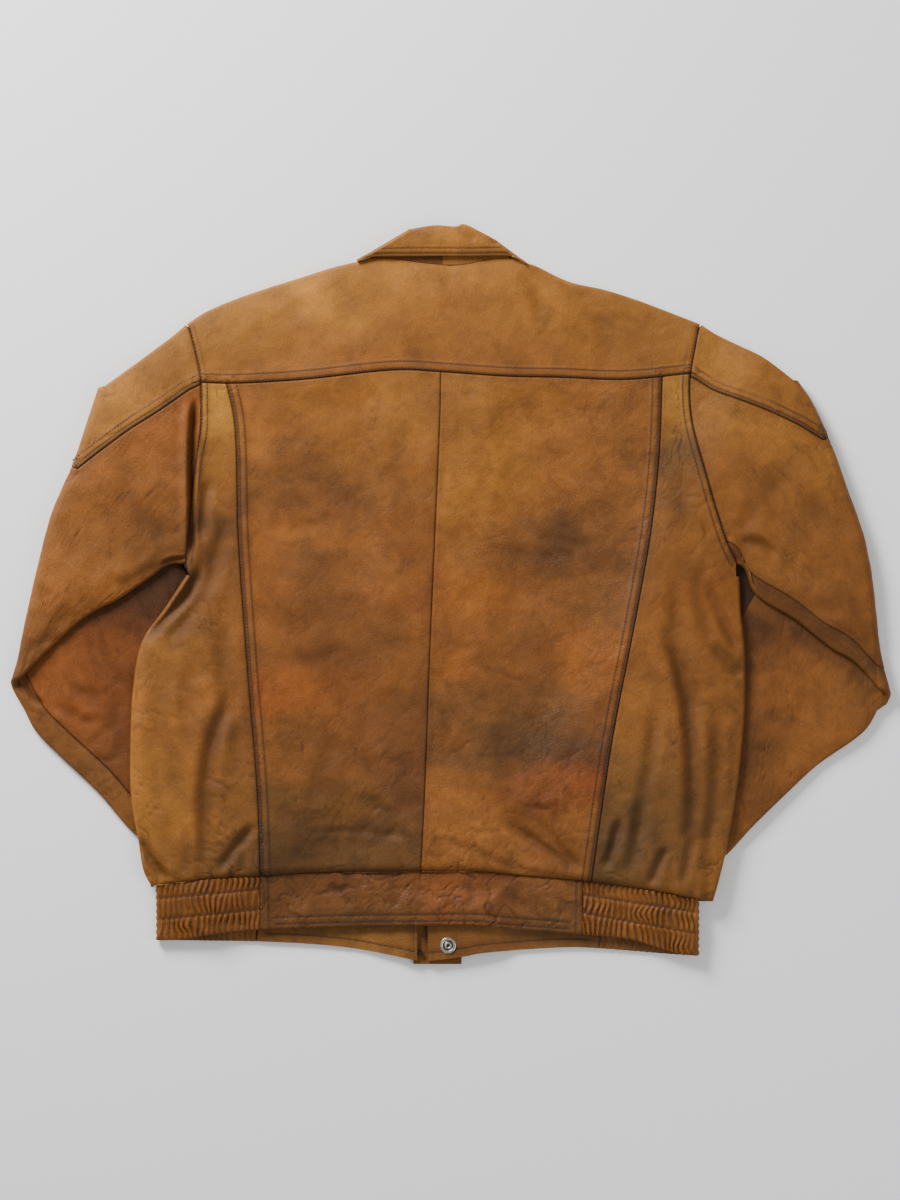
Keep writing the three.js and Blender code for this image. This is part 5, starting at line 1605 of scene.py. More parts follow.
    def fronts(self, shop: Workshop) -> None:
        """The fronts, face down on the surface and over the forearms, flap and collar leaves."""
        creases = Relief(folds=(
            Fold(((-200, 60), (-150, 40), (-90, 60)), 8, 1.0),
            Fold(((200, 50), (150, 30), (90, 52)), 8, 1.0),
            Fold(((-240, -120), (-236, -190), (-228, -270)), 7, 1.4),
            Fold(((236, -110), (232, -180), (224, -270)), 7, 1.4),
            Fold(((-160, -250), (-120, -200), (-100, -140)), 8, 0.9),
            Fold(((140, -250), (110, -200), (90, -140)), 8, 0.9)), rumple=0.5, seed=8)
        for h in HALVES:
            axis = beside(at(spline(h.side), np.linspace(0, 1, 200)), h.out * (EDGE + 12 + SEAM))
            armhole = spline(h.armhole) - [h.out * 1.2, 0]
            edge = np.vstack([axis, armhole[armhole[:, 1] > axis[-1, 1] + 4][::-1]])
            shoulder = beside(spline(h.shoulder), h.out * -(EDGE + 12 + SEAM))
            edge = edge[edge[:, 1] < shoulder[-1, 1] - 4]
            top = np.vstack([shoulder[::-1], spline(h.neckline)[1:]])
            v, u = graded(560, COARSE, zone=2), graded(300, COARSE, zone=2)
            side, high = at(edge, v), at(top, u)
            hem = float(height_at(FRONT_HEM_SEAM, np.array(h.front_edge)))
            edge_x = np.full(len(v), float(h.front_edge))
            front = np.stack([edge_x, hem + (high[-1, 1] - hem) * v], -1)
            x = side[0, 0] + u * (h.front_edge - side[0, 0])
            bottom = np.stack([x, height_at(FRONT_HEM_SEAM, x) + SEAM / 2], -1)
            side[0], side[-1], front[0], front[-1] = bottom[0], high[0], bottom[-1], high[-1]
            plane = coons(bottom, high, side, front, u, v)
            px, py = plane[..., 0], plane[..., 1]
            dz = np.clip(creases(px, py), -2, 2)
            z = lift(px, py) + 0.35 + np.clip(dz, -0.3, 0.9)
            shell = Shell().grid(np.dstack([plane, z]))
            obj = shell.build(f"front_{h.name}", -1, DYES_AND_SHADOWS["front"], DYES_AND_SHADOWS["front"])
            shop.leather(shell, obj, "panel")


# ------------------------------------------------------------------ hem band


class Gathers:
    """Leather drawn up by elastic: upright ripples, pinched along rows of stitching."""

    def __init__(self, rows: tuple[tuple[Point, Point], ...], seed: int) -> None:
        """Keeps the stitched rows, each from one point to another."""
        self.rows = rows
        self.noise = (Noise(seed), Noise(seed + 1), Noise(seed + 2))

    def row_y(self, k: int, x: Array) -> Array:
        """Height of a stitched row at x."""
        (x0, y0), (x1, y1) = self.rows[k]
        return y0 + (y1 - y0) * (x - x0) / (x1 - x0)

    def __call__(self, x: Array, y: Array) -> Array:
        """Height of the ripples; each channel has its own phase."""
        channel = sum((y < self.row_y(k, x)).astype(float) for k in range(len(self.rows)))
        sway = 3.2 * self.noise[1](x / 19 + 9 * channel, y / 11 + 5 * channel)
        phase = 2 * math.pi * ((x + sway) / 5.6 + 0.37 * channel)
        drift = 3 * self.noise[0](x / 30, channel * 7.3)
        ripple = np.sin(phase) + 0.35 * np.sin(2.1 * phase + drift)
        pinch, sink = np.ones(np.shape(x)), 0.0
        for k in range(len(self.rows)):
            far = y - self.row_y(k, x)
            pinch = pinch * (1 - 0.8 * np.exp(-((far / 2.4) ** 2)))
            sink = sink + 1.3 * np.exp(-((far / 1.7) ** 2))
        size = 0.8 + 0.5 * self.noise[2](x / 24, y / 9)
        return 0.95 * size * ripple * pinch - 0.6 * sink


class HemBand:
    """The band below the hem seam: plain at the centre back, elastic at the sides."""

    CHANNELS = {
        "left": (((-293.5, -303.5), (-193.5, -294.5)), ((-292.5, -324.5), (-193.5, -314.5))),
        "right": (((136.5, -300.5), (250.5, -317.5)), ((134.5, -318.5), (246.5, -338.5))),
    }

    def __init__(self) -> None:
        """Sets the relief of the band's plain pieces."""
        edge = at(BACK_BAND_EDGE, np.linspace(0, 1, 60))
        inside = edge[(edge[:, 0] > -182) & (edge[:, 0] < 126)]
        self.centre_seams = (
            Seam(np.array([(-190.5, -284.0), (-189.5, -334.0)]), (8.5,), 0.8, 0.5),
            Seam(np.array([(132.5, -286.0), (131.5, -340.0)]), (-7.0,), 0.8, 0.5),
            Seam(beside(inside, 4.4), (0.1,), 0.0, 0.0),
            Seam(beside(inside, 11.6), (0.1,), 0.0, 0.0),
        )
        self.centre = Relief(folds=(
            Fold(((-120, -288), (-112, -300), (-96, -312)), 4, 0.9),
            Fold(((-60, -286), (-52, -300), (-60, -314)), 5, 0.9),
            Fold(((-20, -290), (-6, -300), (-12, -314)), 4, -0.9),
            Fold(((10, -286), (22, -302), (14, -314)), 4, 0.9),
            Fold(((50, -290), (62, -304), (80, -312)), 4, 0.9),
            Fold(((88, -292), (96, -306), (112, -316)), 4, -0.8),
            Fold(((-160, -292), (-150, -306), (-152, -318)), 5, 0.7),
            Fold(((-90, -290), (-80, -304), (-84, -316)), 4, -0.8),
        ), seams=self.centre_seams, rumple=0.9, seed=12,
            crumple=lambda x, y: np.full(np.shape(x), 1.2))
        self.front_seams = tuple(
            Seam(beside(at(FRONT_BAND_EDGE, np.linspace(a, b, 40)), 8), (0.1,), 0.0, 0.0)
            for a, b in ((0.2, 0.475), (0.49, 0.8)))
        self.front = Relief(seams=self.front_seams, rumple=0.35, seed=14)

    def strip(self, x: Array, above: Array, below: Array, rows: Array, gap: float = SEAM) -> Array:
        """Plane grid between the seam above and the edge below."""
        high, low = height_at(above, x) - gap, height_at(below, x)
        return np.dstack([np.broadcast_to(x, (len(rows), len(x))),
                          low[None] + (high - low)[None] * rows[:, None]])

    def back(self, x: Array, y: Array, relief: Field) -> Array:
        """Height of the band's back layer: a soft roll at its edge and at the seam."""
        from_edge = np.clip((y - height_at(BACK_BAND_EDGE, x)) / 4, 0, 1)
        to_seam = np.clip((height_at(HEM_SEAM, x) - y) / 5, 0, 1)
        soft = np.sqrt(1 - (1 - from_edge) ** 2) * 1.2 + np.sqrt(1 - (1 - to_seam) ** 2) * 0.8
        return lift(x, y) + BACK_TOP - 1.2 + soft + relief(x, y)

    def build(self, shop: Workshop) -> None:
        """Makes the centre, both elastics and both front bands."""
        rows = graded(55, 1.7, zone=4)
        x = np.linspace(BAND_CENTRE["left"] + SEAM / 2, BAND_CENTRE["right"] - SEAM / 2, 190)
        plane = self.strip(x, HEM_SEAM, BACK_BAND_EDGE, rows)
        px, py = plane[..., 0], plane[..., 1]
        dz, dark = self.centre.sample(px, py)
        shell = Shell().grid(np.dstack([plane, self.back(px, py, lambda *_: dz)]), dark)
        obj = shell.build("band_back", 1, DYES_AND_SHADOWS["band"])
        shop.leather(shell, obj, "band")
        for h in HALVES:
            self.elastic(shop, h)
            self.front_band(shop, h)

    def elastic(self, shop: Workshop, h: Half) -> None:
        """One elastic: gathered on the back, round the fold and on to the front."""
        gathers = Gathers(self.CHANNELS[h.name], 60 + h.out)
        rows = graded(55, 1.5, zone=3)
        axis_x = BAND_SIDES[h.name] - h.out * EDGE
        start = BAND_CENTRE[h.name] + h.out * SEAM / 2
        x = start + (axis_x - start) * np.linspace(0, 1, 116)
        plane = self.strip(x, HEM_SEAM, BACK_BAND_EDGE, rows)
        px, py = plane[..., 0], plane[..., 1]
        ripple = gathers(px, py)
        grid = np.dstack([plane, self.back(px, py, lambda *_: ripple)])
        # painted shade in the troughs of the gathers
        dark = np.clip(0.1 - ripple * 0.55, 0, 1.1)
        border = grid[:, -1]
        floor = lift(border[:, 0], border[:, 1])
        angle = np.linspace(0, math.pi, TURN_STEPS)[None, :]
        wave = 0.5 * np.sin(border[:, 1] / 1.1)[:, None] * np.sin(angle)
        tall = ((border[:, 2] - floor) / 2)[:, None]
        turn = np.dstack([
            border[:, :1] + h.out * (EDGE + wave) * np.sin(angle),
            np.broadcast_to(border[:, 1:2], (len(rows), TURN_STEPS)),
            floor[:, None] + tall + tall * np.cos(angle)])
        front_x = axis_x + (BAND_FRONT[h.name] + h.out * SEAM / 2 - axis_x) * np.linspace(0, 1, 60)
        under = self.strip(front_x, FRONT_HEM_SEAM, FRONT_BAND_EDGE, rows)
        under[:, 0] = border[:, :2]
        ease = np.exp(-np.abs(front_x - axis_x) / 12)[None]
        first = self.strip(front_x[:1], FRONT_HEM_SEAM, FRONT_BAND_EDGE, rows)[:, 0, 1]
        under[..., 1] += (border[:, 1] - first)[:, None] * ease
        ux, uy = under[..., 0], under[..., 1]
        low = lift(ux, uy) + np.clip(0.7 + 0.7 * gathers(ux, uy), 0, 2) * (1 - ease)
        whole = np.concatenate([grid, turn[:, 1:], np.dstack([under, low])[:, 1:]], axis=1)
        shade = np.zeros(whole.shape[:2])
        shade[:, : dark.shape[1]] = dark
        shell = Shell().grid(whole, shade)
        obj = shell.build(f"elastic_{h.name}", 1, DYES_AND_SHADOWS[f"elastic_{h.name}"], DYES_AND_SHADOWS["front_band"])
        shop.leather(shell, obj, "band")

    def front_band(self, shop: Workshop, h: Half) -> None:
        """The plain front piece, whose inner side shows below the back band."""
        start = BAND_FRONT[h.name] - h.out * SEAM / 2
        x = start + (h.front_edge - start) * graded(160, 2.0, zone=4)
        rows = graded(52, 1.8, zone=6)
        plane = self.strip(x, FRONT_HEM_SEAM, FRONT_BAND_EDGE, rows)
        px, py = plane[..., 0], plane[..., 1]
        dz, dark = self.front.sample(px, py)
        z = lift(px, py) + 0.5 + np.clip(dz, -0.5, 1)
        shell = Shell(WALL).grid(np.dstack([plane, z]), dark)
        obj = shell.build(f"band_front_{h.name}", -1, DYES_AND_SHADOWS["front_band"], DYES_AND_SHADOWS["front_band"])
        shop.leather(shell, obj, "band")


# ------------------------------------------------------------------ collar, flap, zip


class Collar:
    """The fall that turns down over the back, with its leaves, and the two-piece stand."""

    LEAVES = {"left": ((26, -98), (5, -97)), "right": ((-32, -95), (-61, -85))}
    RUNS = {"left": (34, -82), "right": (-50, -70)}

    def __init__(self) -> None:
        """Sets the collar's relief: two rows of stitches above its free edge."""
        edge = at(spline(FALL_EDGE), np.linspace(0, 1, 40))
        self.stitch_lines = (Seam(edge, (2.8, 8.0), 0.0, 0.35),)
        self.relief = Relief(folds=(
            Fold(((8, 370), (14, 360), (26, 352)), 4, 1.2),
            Fold(((-44, 362), (-30, 354), (-14, 352)), 6, 0.7)),
            seams=self.stitch_lines, rumple=0.45, seed=21)

    def height(self, x: Array, y: Array) -> Array:
        """Top of the fall, with a soft swell between its edge and the roll."""
        edge, roll = spline(FALL_EDGE), spline(ROLL)
        far = np.minimum(np.abs(nearest(edge, x, y)[0]), np.abs(nearest(roll, x, y)[0]))
        return FALL_Z + WALL / 2 + 3.0 * (1 - np.exp(-far / 9)) + self.relief(x, y) + 1.2

    def build(self, shop: Workshop) -> None:
        """Makes the fall and both halves of the stand."""
        u, v = graded(160, 2.2, zone=4), graded(28, 1.3, zone=5)
        edge, roll = at(spline(FALL_EDGE), u), at(spline(ROLL), u)
        roll_half = (FALL_Z - STAND_Z) / 2
        reach = (2.0 + 1.6 * smooth(v / 0.4))[:, None]  # the folds at the ends are pressed thin
        side = {"left": edge[0] + (roll[0] - edge[0]) * v[:, None],
                "right": edge[-1] + (roll[-1] - edge[-1]) * v[:, None]}
        outs = {"left": left_normals(side["left"])[0], "right": -left_normals(side["right"])[0]}
        axis = {k: side[k] - outs[k] * reach for k in side}
        top = beside(roll, -(roll_half + WALL / 2))
        blend = (1 - smooth(np.minimum(u, 1 - u) / 0.12))[:, None]
        left_half = u[:, None] < 0.5
        pin = np.where(left_half, axis["left"][-1] - top[0], axis["right"][-1] - top[-1])
        top = top + pin * blend
        pin = np.where(left_half, axis["left"][0] - edge[0], axis["right"][0] - edge[-1])
        edge = edge + pin * blend
        plane = coons(edge, top, axis["left"], axis["right"], u, v)
        px, py = plane[..., 0], plane[..., 1]
        z = self.height(px, py)
        dark = self.relief.sample(px, py)[1]
        grid = np.dstack([plane, z])
        shell = Shell(1.8).grid(grid, dark)
        angle = np.linspace(0, math.pi, TURN_STEPS)
        crown = grid[-1]
        low = STAND_Z - WALL / 2 + 0.3
        tall = ((crown[:, 2] - low) / 2)[:, None]
        ends = np.where(left_half, outs["left"], outs["right"]) * reach[-1]
        out = left_normals(crown[:, :2]) * (roll_half + WALL / 2)
        out = out + (ends - out) * blend
        flat = crown[:, None, :2] + out[:, None] * np.sin(angle)[None, :, None]
        roll_strip = np.dstack([flat, low + tall + tall * np.cos(angle)[None]])
        shell.grid(roll_strip.transpose(1, 0, 2))
        for name in ("left", "right"):
            self._leaf(shell, grid, outs[name], name, reach, angle, v)
        obj = shell.build("collar_fall", 1, DYES_AND_SHADOWS["fall"])
        shop.leather(shell, obj, "tan")
        self._stand(shop)

    def _leaf(self, shell: Shell, grid: Array, out: Array, name: str,
              reach: Array, angle: Array, v: Array) -> None:
        """Adds the fold at one end of the fall and the leaf that lies under the fronts."""
        border = grid[:, 0 if name == "left" else -1]
        under = smooth((v - 0.1) / 0.14)[:, None]  # the fall's corner itself stays on the yoke
        low = 9.8 * (1 - under)
        tall = (border[:, 2:] - low) / 2
        flat = border[:, None, :2] + out * (reach * np.sin(angle)[None])[..., None]
        turn = np.dstack([flat, low + tall + tall * np.cos(angle)[None]])
        share = v[:, None]
        (ax, ay), (bx, by) = self.LEAVES[name]
        run = np.array([ax, ay]) + (np.array([bx, by]) - np.array([ax, ay])) * share
        steps = np.linspace(0, 1, 24)[1:]
        leaf = border[:, None, :2] + (run * under)[:, None] * steps[None, :, None]
        under = np.dstack([leaf, np.broadcast_to(low, leaf.shape[:2])])
        whole = np.concatenate([turn, under], axis=1)
        shell.grid(whole, turned=name == "left")

    def _stand(self, shop: Workshop) -> None:
        """Makes the halves of the stand, which show as a narrow strip below the fall."""
        left, join, right = STAND_ENDS
        for name, start, stop, tops in (("left", left, join, (-58, join)),
                                        ("right", join, right, (join, 44))):
            sign = -1 if name == "left" else 1
            u = graded(70, 2.4, zone=2)
            v = graded(26, 1.6, zone=3)
            bottom = along(NECK_SEAM, start + (stop - start) * u)
            top = along(spline(STAND_TOP), tops[0] + (tops[1] - tops[0]) * u)
            gap = np.array([-sign * SEAM / 2, 0])
            a = bottom[0] + (top[0] - bottom[0]) * v[:, None]
            b = bottom[-1] + (top[-1] - bottom[-1]) * v[:, None]
            plane = coons(bottom, top, a, b, u, v)
            plane[:, -1 if name == "left" else 0] += gap
            if sign > 0:
                plane = plane[:, ::-1]
            bow = 0.9 * np.sin(np.linspace(0, math.pi, len(v)))[:, None]
            grid = np.dstack([plane, np.full(plane.shape[:2], STAND_Z + WALL / 2) + bow * 0.4])
            grid = grid[:, ::-1]
            border = grid[:, -1]
            out = np.array([sign * 0.9, 0.35])
            out = out / np.linalg.norm(out)
            angle = np.linspace(0, math.pi, TURN_STEPS)
            low = STAND_Z - 2 * HALF - WALL / 2
            tall = ((border[:, 2] - low) / 2)[:, None]
            flat = border[:, None, :2] + out * (EDGE * np.sin(angle))[None, :, None]
            turn = np.dstack([flat, low + tall + tall * np.cos(angle)[None]])
            steps = np.linspace(0, 1, 16)[1:]
            tail = border[:, None, :2] + np.array(self.RUNS[name]) * steps[None, :, None]
            under = np.dstack([tail, np.full(tail.shape[:2], low)])
            whole = np.concatenate([grid, turn[:, 1:], under], axis=1)
            shell = Shell(1.8).grid(whole)
            obj = shell.build(f"collar_stand_{name}", 1, DYES_AND_SHADOWS[f"stand_{name}"], DYES_AND_SHADOWS["hidden"])
            finish = "dark" if name == "left" else "tan"
            shop.leather(shell, obj, finish)


class Closure:
    """The storm flap, the zip and the ring snap."""

    TEETH_STEP = 3.2
    CHAIN_X = -28.0
    CHAIN_Z = 3.7

    def build(self, shop: Workshop) -> None:
        """Makes the flap, tapes, teeth and snap, and dresses the solids that stay."""
        self.flap(shop)
        self.tapes(shop)
        self.teeth(shop)
        self.snap(shop)
        self.stop(shop)
        shop.carry("zip_slider", "brass")
        shop.carry("zip_pull", "brass")
        shop.carry("snap_socket", "snap")
        shop.carry("snap_cap", "snap")

    def flap(self, shop: Workshop) -> None:
        """The flap, face down under the fronts' edges, lifted by the snap's cap."""
        x0, x1, y0, y1 = FLAP
        x = x0 + (x1 - x0) * graded(48, 2.6, zone=3)
        y = y0 + (y1 - y0) * graded(609, 6.0, zone=6)
        px, py = np.meshgrid(x, y)
        wave = Relief(rumple=0.3, seed=31)
        z = CAP_LIFT * smooth((-280 - py) / 40) + np.clip(wave(px, py) * 0.5 + 0.2, 0, 0.5)
        shell = Shell(1.7).grid(np.dstack([px, py, z]))
        obj = shell.build("storm_flap", -1, DYES_AND_SHADOWS["front_band"], DYES_AND_SHADOWS["front_band"])
        shop.leather(shell, obj, "panel")

    def tapes(self, shop: Workshop) -> None:
        """The zip's two tapes, on the fronts beside their edges."""
        for name, a, b in (("left", -45.0, -33.5), ("right", -22.5, -11.0)):
            px, py = np.meshgrid(np.linspace(a, b, 7), np.linspace(*ZIP_RUN, 160))
            z = middle(px, py) - HALF + WALL / 2 + 0.35 + 1.3 * smooth((-230 - py) / 30) + 0.8
            shell = Shell(0.8).grid(np.dstack([px, py, z]))
            obj = shell.build(f"zip_tape_{name}", 1, DYES_AND_SHADOWS["hidden"])
            shop.leather(shell, obj, "tape")

    def teeth(self, shop: Workshop) -> None:
        """Two rows of cast teeth, each a small waisted block, half a step apart."""
        low, high = ZIP_RUN
        y = np.arange(low + 2, high - 1, self.TEETH_STEP)
        outline = np.array([(-3.0, -1.1), (0.4, -1.1), (0.4, 1.1), (-3.0, 1.1)])
        block = np.array([(px, py, pz) for pz in (0.0, 1.6) for px, py in outline])
        block[4:, :2] *= 0.82
        faces = np.array([(3, 2, 1, 0), (4, 5, 6, 7), (0, 1, 5, 4), (1, 2, 6, 5), (2, 3, 7, 6),
                          (3, 0, 4, 7)])
        points, quads = [], []
        for side, shift in ((1, 0.0), (-1, self.TEETH_STEP / 2)):
            turned = block * [side, side, 1]
            place = np.array([self.CHAIN_X, 0, self.CHAIN_Z]) + np.outer(y + shift, [0, 1, 0])
            first = (np.arange(len(y)) * len(block))[:, None, None] + sum(len(p) for p in points)
            quads.append((faces[None] + first).reshape(-1, 4))
            points.append((turned[None] + place[:, None]).reshape(-1, 3))
        obj = mesh_object("zip_teeth", np.concatenate(points), np.concatenate(quads))
        shop.dress(obj, "brass", "zip_chain")

    def stop(self, shop: Workshop) -> None:
        """The end of the zip that shows below the band: a small worn black block."""
        x, y, z = (np.array(pair) for pair in ((-32.2, -28.6), (-360.6, -355.2), (4.0, 7.4)))
        points = np.array([(x[i], y[j], z[k]) for k in (0, 1) for j in (0, 1) for i in (0, 1)])
        points[4:, :2] += (points[4:, :2].mean(0) - points[4:, :2]) * 0.22
        faces = np.array([(0, 2, 3, 1), (4, 5, 7, 6), (0, 1, 5, 4), (1, 3, 7, 5), (3, 2, 6, 7),
                          (2, 0, 4, 6)])
        shop.dress(mesh_object("zip_stop", points, faces), "black", "zip_box")

    def snap(self, shop: Workshop) -> None:
        """The stud seen from inside: a rolled rim, a hollow post and a black disc under them,
        painted as the shadow in the stud's well.
        """
        base = SNAP_LIFT + WALL + 0.3
        rim = spline([(5.0, 0.1), (5.0, 0.7), (5.6, 1.15), (6.6, 1.4), (7.6, 1.25), (8.1, 0.7),
                      (8.0, 0.1)], 5)
        post = spline([(1.5, 0.3), (1.6, 1.2), (2.1, 1.6), (2.9, 1.75), (3.6, 1.5), (3.9, 0.9),
                       (3.9, 0.3)], 5)
        well = np.array([(0, 0.0), (0, 0.45), (5.2, 0.45), (5.2, 0.0)])
        shop.dress(self.turned("snap_rim", rim, base), "snap", "snap_stud")
        shop.dress(self.turned("snap_post", post, base), "snap")
        # painted shadow: a black disc under the rim and round the post
        shop.dress(self.turned("snap_well_shadow", well, base), "black")

    def turned(self, name: str, profile: Array, base: float) -> bpy.types.Object:
        """A closed profile of radius and height turned round the snap's axis."""
        turn = np.linspace(0, 2 * math.pi, 65)[:-1]
        radius, height = profile[:, :1], np.broadcast_to(profile[:, 1:], (len(profile), len(turn)))
        ring = np.stack([radius * np.cos(turn) + SNAP[0], radius * np.sin(turn) + SNAP[1],
                         height + base], -1)
        count, rows = len(turn), len(profile)
        i, j = np.meshgrid(np.arange(rows), np.arange(count), indexing="ij")
        k, n = (j + 1) % count, (i + 1) % rows
        quads = np.stack([i * count + j, n * count + j, n * count + k, i * count + k], -1)
        return mesh_object(name, ring.reshape(-1, 3), quads.reshape(-1, 4), sharp=0.7)


# ------------------------------------------------------------------ stitches


@dataclass
class Stitching:
    """Rows of topstitches laid on a surface."""

    name: str
    pitch: float = 3.3
    length: float = 2.7
    radius: float = 0.42
    rows: list[tuple[Array, Field]] = field(default_factory=list)

    def add(self, line: Array, surface: Field) -> None:
        """Adds a row along a plane line over a surface."""
        self.rows.append((line, surface))

    def build(self, shop: Workshop, finish: str = "thread") -> None:
        """Makes every stitch of the rows in one mesh.

        A stitch is a four-sided thread along the line, highest in the middle and sunk into
        the leather at both ends.
        """
        stations = np.array([-0.5, -0.3, 0.0, 0.3, 0.5])
        girth = np.array([0.35, 0.9, 1.0, 0.9, 0.35])
        sides = np.array([(1, 0), (0, 1), (-1, 0), (0, -1)], float)
        size = len(stations) * len(sides)
        points, faces, count = [], [], 0
        for line, surface in self.rows:
            total = length_of(line)
            places = np.arange(self.pitch / 2, total, self.pitch) / total
            if not len(places):
                continue
            centre = at(line, places)
            step = 0.5 / total
            ahead = at(line, np.clip(places + step, 0, 1)) - at(line, np.clip(places - step, 0, 1))
            ahead /= np.linalg.norm(ahead, axis=1, keepdims=True)
            across = np.stack([-ahead[:, 1], ahead[:, 0]], -1)
            spine = centre[:, None] + ahead[:, None] * (stations * self.length)[None, :, None]
            z = surface(spine[..., 0], spine[..., 1]) + 0.12 - 0.9 * (stations**2)[None] * 1.6
            ring = girth[None, :, None] * self.radius
            aside = (sides[:, 0][None, None] * ring)[..., None]
            xy = spine[:, :, None] + across[:, None, None] * aside
            up = z[..., None] + sides[:, 1][None, None] * ring * 0.8
            points.append(np.concatenate([xy, up[..., None]], -1).reshape(-1, 3))
            ids = np.arange(len(centre) * size).reshape(-1, len(stations), len(sides)) + count
            a, b = ids[:, :-1], ids[:, 1:]
            wall = np.stack([a, np.roll(a, -1, 2), np.roll(b, -1, 2), b], -1).reshape(-1, 4)
            caps = np.concatenate([ids[:, 0, ::-1], ids[:, -1]])
            faces.append(np.concatenate([wall, caps]))
            count += len(centre) * size
        obj = mesh_object(self.name, np.concatenate(points), np.concatenate(faces), sharp=1.3)
        obj.data.flip_normals()
        shop.dress(obj, finish)


# ------------------------------------------------------------------ stage


class Studio:
    """A pale floor, soft lights and the camera straight above."""

    FLOOR_HALF = 6.0
    FLOOR_Z = -0.0006
    FLOOR_TONE = 0.96
    SKY = 0.42
    # place, size and power of each lamp
    LAMPS = {"key": ((-1.5, 2.0, 1.25), 1.0, 165), "fill": ((1.7, -0.9, 1.9), 1.6, 20)}
    LENS, SENSOR = 150, 36
    CAMERA = (-0.0005, -0.0055, 5.0)

    def build(self) -> None:
        """Makes them."""
        mesh = bpy.data.meshes.new("floor")
        corners = ((-1, -1), (1, -1), (1, 1), (-1, 1))
        mesh.from_pydata([(x * self.FLOOR_HALF, y * self.FLOOR_HALF, self.FLOOR_Z)
                          for x, y in corners], [], [(0, 1, 2, 3)])
        finish = Nodes("floor")
        finish.set(Base_Color=(self.FLOOR_TONE, self.FLOOR_TONE, self.FLOOR_TONE, 1), Roughness=0.9)
        mesh.materials.append(finish.material)
        self.place("floor", mesh)
        world = bpy.data.worlds.new("studio")
        world.use_nodes = True
        sky = world.node_tree.nodes["Background"].inputs
        sky["Color"].default_value, sky["Strength"].default_value = (1, 1, 1, 1), self.SKY
        bpy.context.scene.world = world
        for name, (place, size, power) in self.LAMPS.items():
            lamp = bpy.data.lights.new(name, "AREA")
            lamp.size, lamp.energy = size, power
            obj = self.place(name, lamp, place)
            obj.rotation_mode = "QUATERNION"
            obj.rotation_quaternion = Vector(-np.array(place)).to_track_quat("-Z", "Y")
        camera = bpy.data.cameras.new("camera")
        camera.lens, camera.sensor_width = self.LENS, self.SENSOR
        bpy.context.scene.camera = self.place("camera", camera, self.CAMERA)

    def place(self, name: str, data: bpy.types.ID,
              where: tuple[float, float, float] = (0.0, 0.0, 0.0)) -> bpy.types.Object:
        """Puts a mesh, lamp or camera in the scene."""
        obj = bpy.data.objects.new(name, data)
        obj.location = where
        bpy.context.scene.collection.objects.link(obj)
        return obj


# ------------------------------------------------------------------ garment


def back_seams(sleeves: dict[str, Sleeve]) -> dict[str, Seam]:
    """Every seam of the back and the upper arms, with its rows of stitches."""
    armhole = {h.name: at(spline(h.armhole), np.linspace(0, 1, 50)) for h in HALVES}
    princess = {name: at(line, np.linspace(0, 1, 50)) for name, line in PRINCESS.items()}
    rows = {name: slice(0, s.arm_count + s.crease_count // 2) for name, s in sleeves.items()}
    arm = {name: s.line_at(s.seam_at, rows[name]) for name, s in sleeves.items()}
    under = sleeves["right"].line_at(
        1 - RIGHT.under_inset / sleeves["right"].width, rows["right"])
    return {
        "yoke": Seam(at(YOKE_SEAM, np.linspace(0, 1, 50)), (1.3, 8.6)),
        "princess_left": Seam(princess["left"], (-1.2, -3.2, -9.6)),
        "princess_right": Seam(princess["right"], (1.2, 3.2, 9.4)),
        "centre": Seam(at(CENTRE_SEAM, np.linspace(0, 1, 40)), (), 0.9, 0),
        "armhole_left": Seam(armhole["left"], (1.0, 6.2), 0.9, 0.6),
        "armhole_right": Seam(armhole["right"], (-1.0, -7.0), 0.9, 0.6),
        "over_left": Seam(arm["left"], (-1.3, -4.0, -10.0)),
        "over_right": Seam(arm["right"], (1.3, 3.6, 9.5)),
        "under_right": Seam(under, (), 0.8, 0),
    }


def forearm_relief(name: str, sleeve: Sleeve) -> Relief:
    """Relief of a forearm; the left one shows its seam."""
    rows = slice(sleeve.arm_count + sleeve.crease_count, None)
    seam = sleeve.line_at(1 - sleeve.half.under_inset / sleeve.width, rows)
    lines = (Seam(seam, (), 0.9, 0),) if name == "left" else ()
    return Relief(FOREARM_FOLDS[name], lines, (), rumple=0.9, seed=16,
                  crumple=lambda x, y: np.full(np.shape(x), 0.9))


def sew_back(shop: Workshop, seams: dict[str, Seam], relief: Relief) -> None:
    """Topstitches the back and the upper arms."""

    def height(x: Array, y: Array) -> Array:
        """Top of the back layer."""
        return lift(x, y) + BACK_TOP + swell(x, y) + relief(x, y)

    for name, keys in (
        ("body", ("yoke", "princess_left", "princess_right", "armhole_left", "armhole_right")),
        ("sleeves", ("over_left", "over_right")),
    ):
        thread = Stitching(f"topstitching_{name}")
        for key in keys:
            for offset in seams[key].stitches:
                thread.add(beside(seams[key].line, offset), height)
        thread.build(shop)


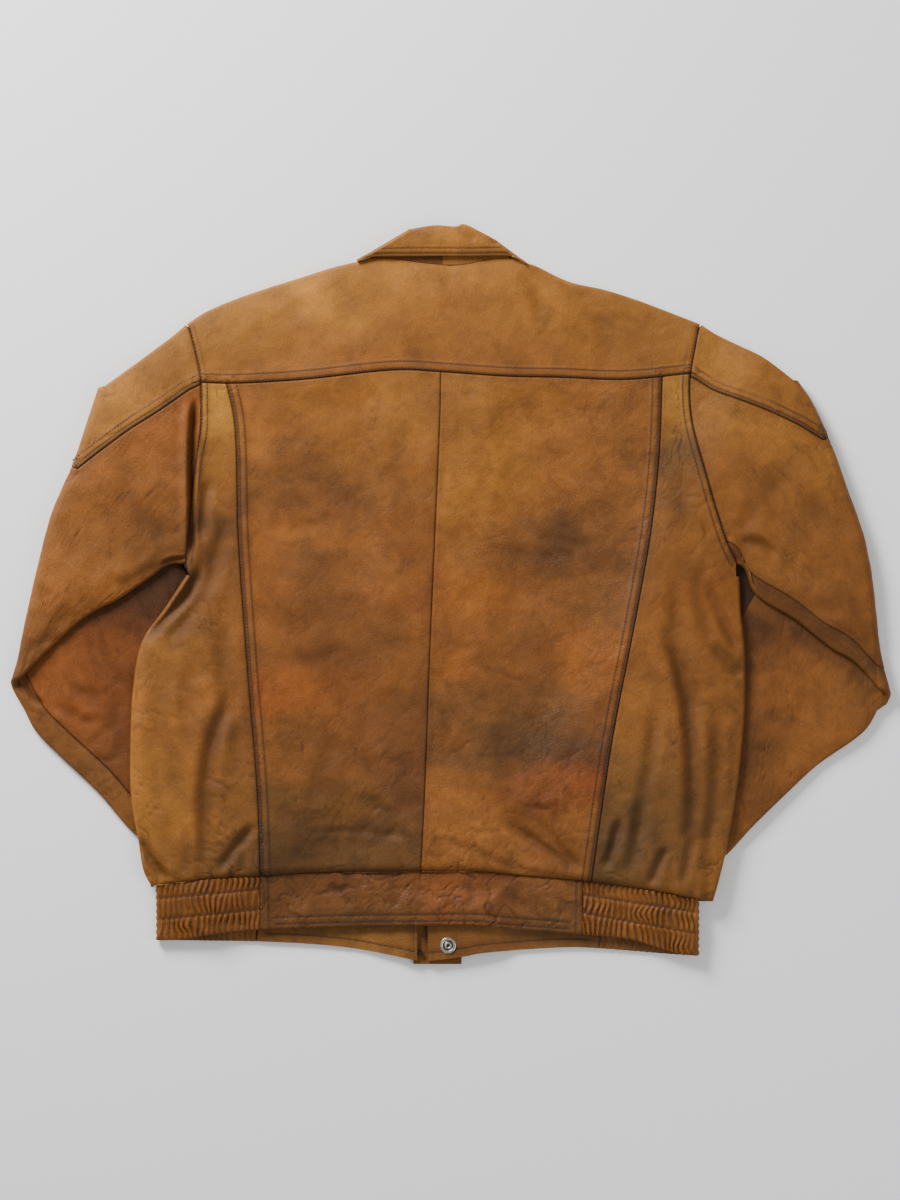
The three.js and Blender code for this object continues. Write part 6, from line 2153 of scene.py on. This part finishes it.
def sew_band(shop: Workshop, band: HemBand) -> None:
    """Topstitches the hem band: its centre, the elastics' channels and the front band."""
    thread = Stitching("topstitching_band")
    for seam in band.centre_seams:
        thread.add(beside(seam.line, seam.stitches[0]), lambda x, y: band.back(x, y, band.centre))
    for h in HALVES:
        gathers = Gathers(band.CHANNELS[h.name], 60 + h.out)
        for k, (a, b) in enumerate(band.CHANNELS[h.name]):
            x = np.linspace(a[0], b[0], 60)
            inside = (x > BAND_SIDES["left"] + EDGE) & (x < BAND_SIDES["right"] - EDGE)
            line = np.stack([x, gathers.row_y(k, x)], -1)[inside]
            thread.add(line, lambda px, py, g=gathers: band.back(px, py, g))

    def height(x: Array, y: Array) -> Array:
        """Top of the front band's inner side."""
        return lift(x, y) + 0.5 + np.clip(band.front(x, y), -0.5, 1) + WALL

    for seam in band.front_seams:
        thread.add(seam.line, height)
    for foot in (-37.0, -25.0):  # two short rows beside the end of the zip
        thread.add(np.array([(foot - 0.2, -358.0), (foot, -330.0)]), height)
    thread.build(shop)


def sew_collar(shop: Workshop, collar: Collar) -> None:
    """Topstitches the fall, each row short of the folds at its ends."""
    thread = Stitching("topstitching_collar")
    for seam in collar.stitch_lines:
        for offset in seam.stitches:
            line = beside(seam.line, offset)
            inset = 1.9 * offset
            kept = (line[:, 0] > inset - 84) & (line[:, 0] < 66 - inset)
            thread.add(line[kept], collar.height)
    thread.build(shop)


def main() -> None:
    """Builds every piece in order."""
    logging.basicConfig(level=logging.INFO, format="%(name)s: %(message)s")
    shop = Workshop()
    sleeves = {h.name: Sleeve(h) for h in HALVES}
    seams = back_seams(sleeves)
    relief = Relief(BACK_FOLDS, tuple(seams.values()), (Puckers(),), rumple=1.1,
                    crumple=back_crumple)
    Body(relief).build(shop)
    for name, sleeve in sleeves.items():
        sleeve.build(shop, (relief, forearm_relief(name, sleeve)))
    band, collar = HemBand(), Collar()
    band.build(shop)
    collar.build(shop)
    Closure().build(shop)
    sew_back(shop, seams, relief)
    sew_band(shop, band)
    sew_collar(shop, collar)
    Studio().build()


if __name__ == "__main__":
    main()
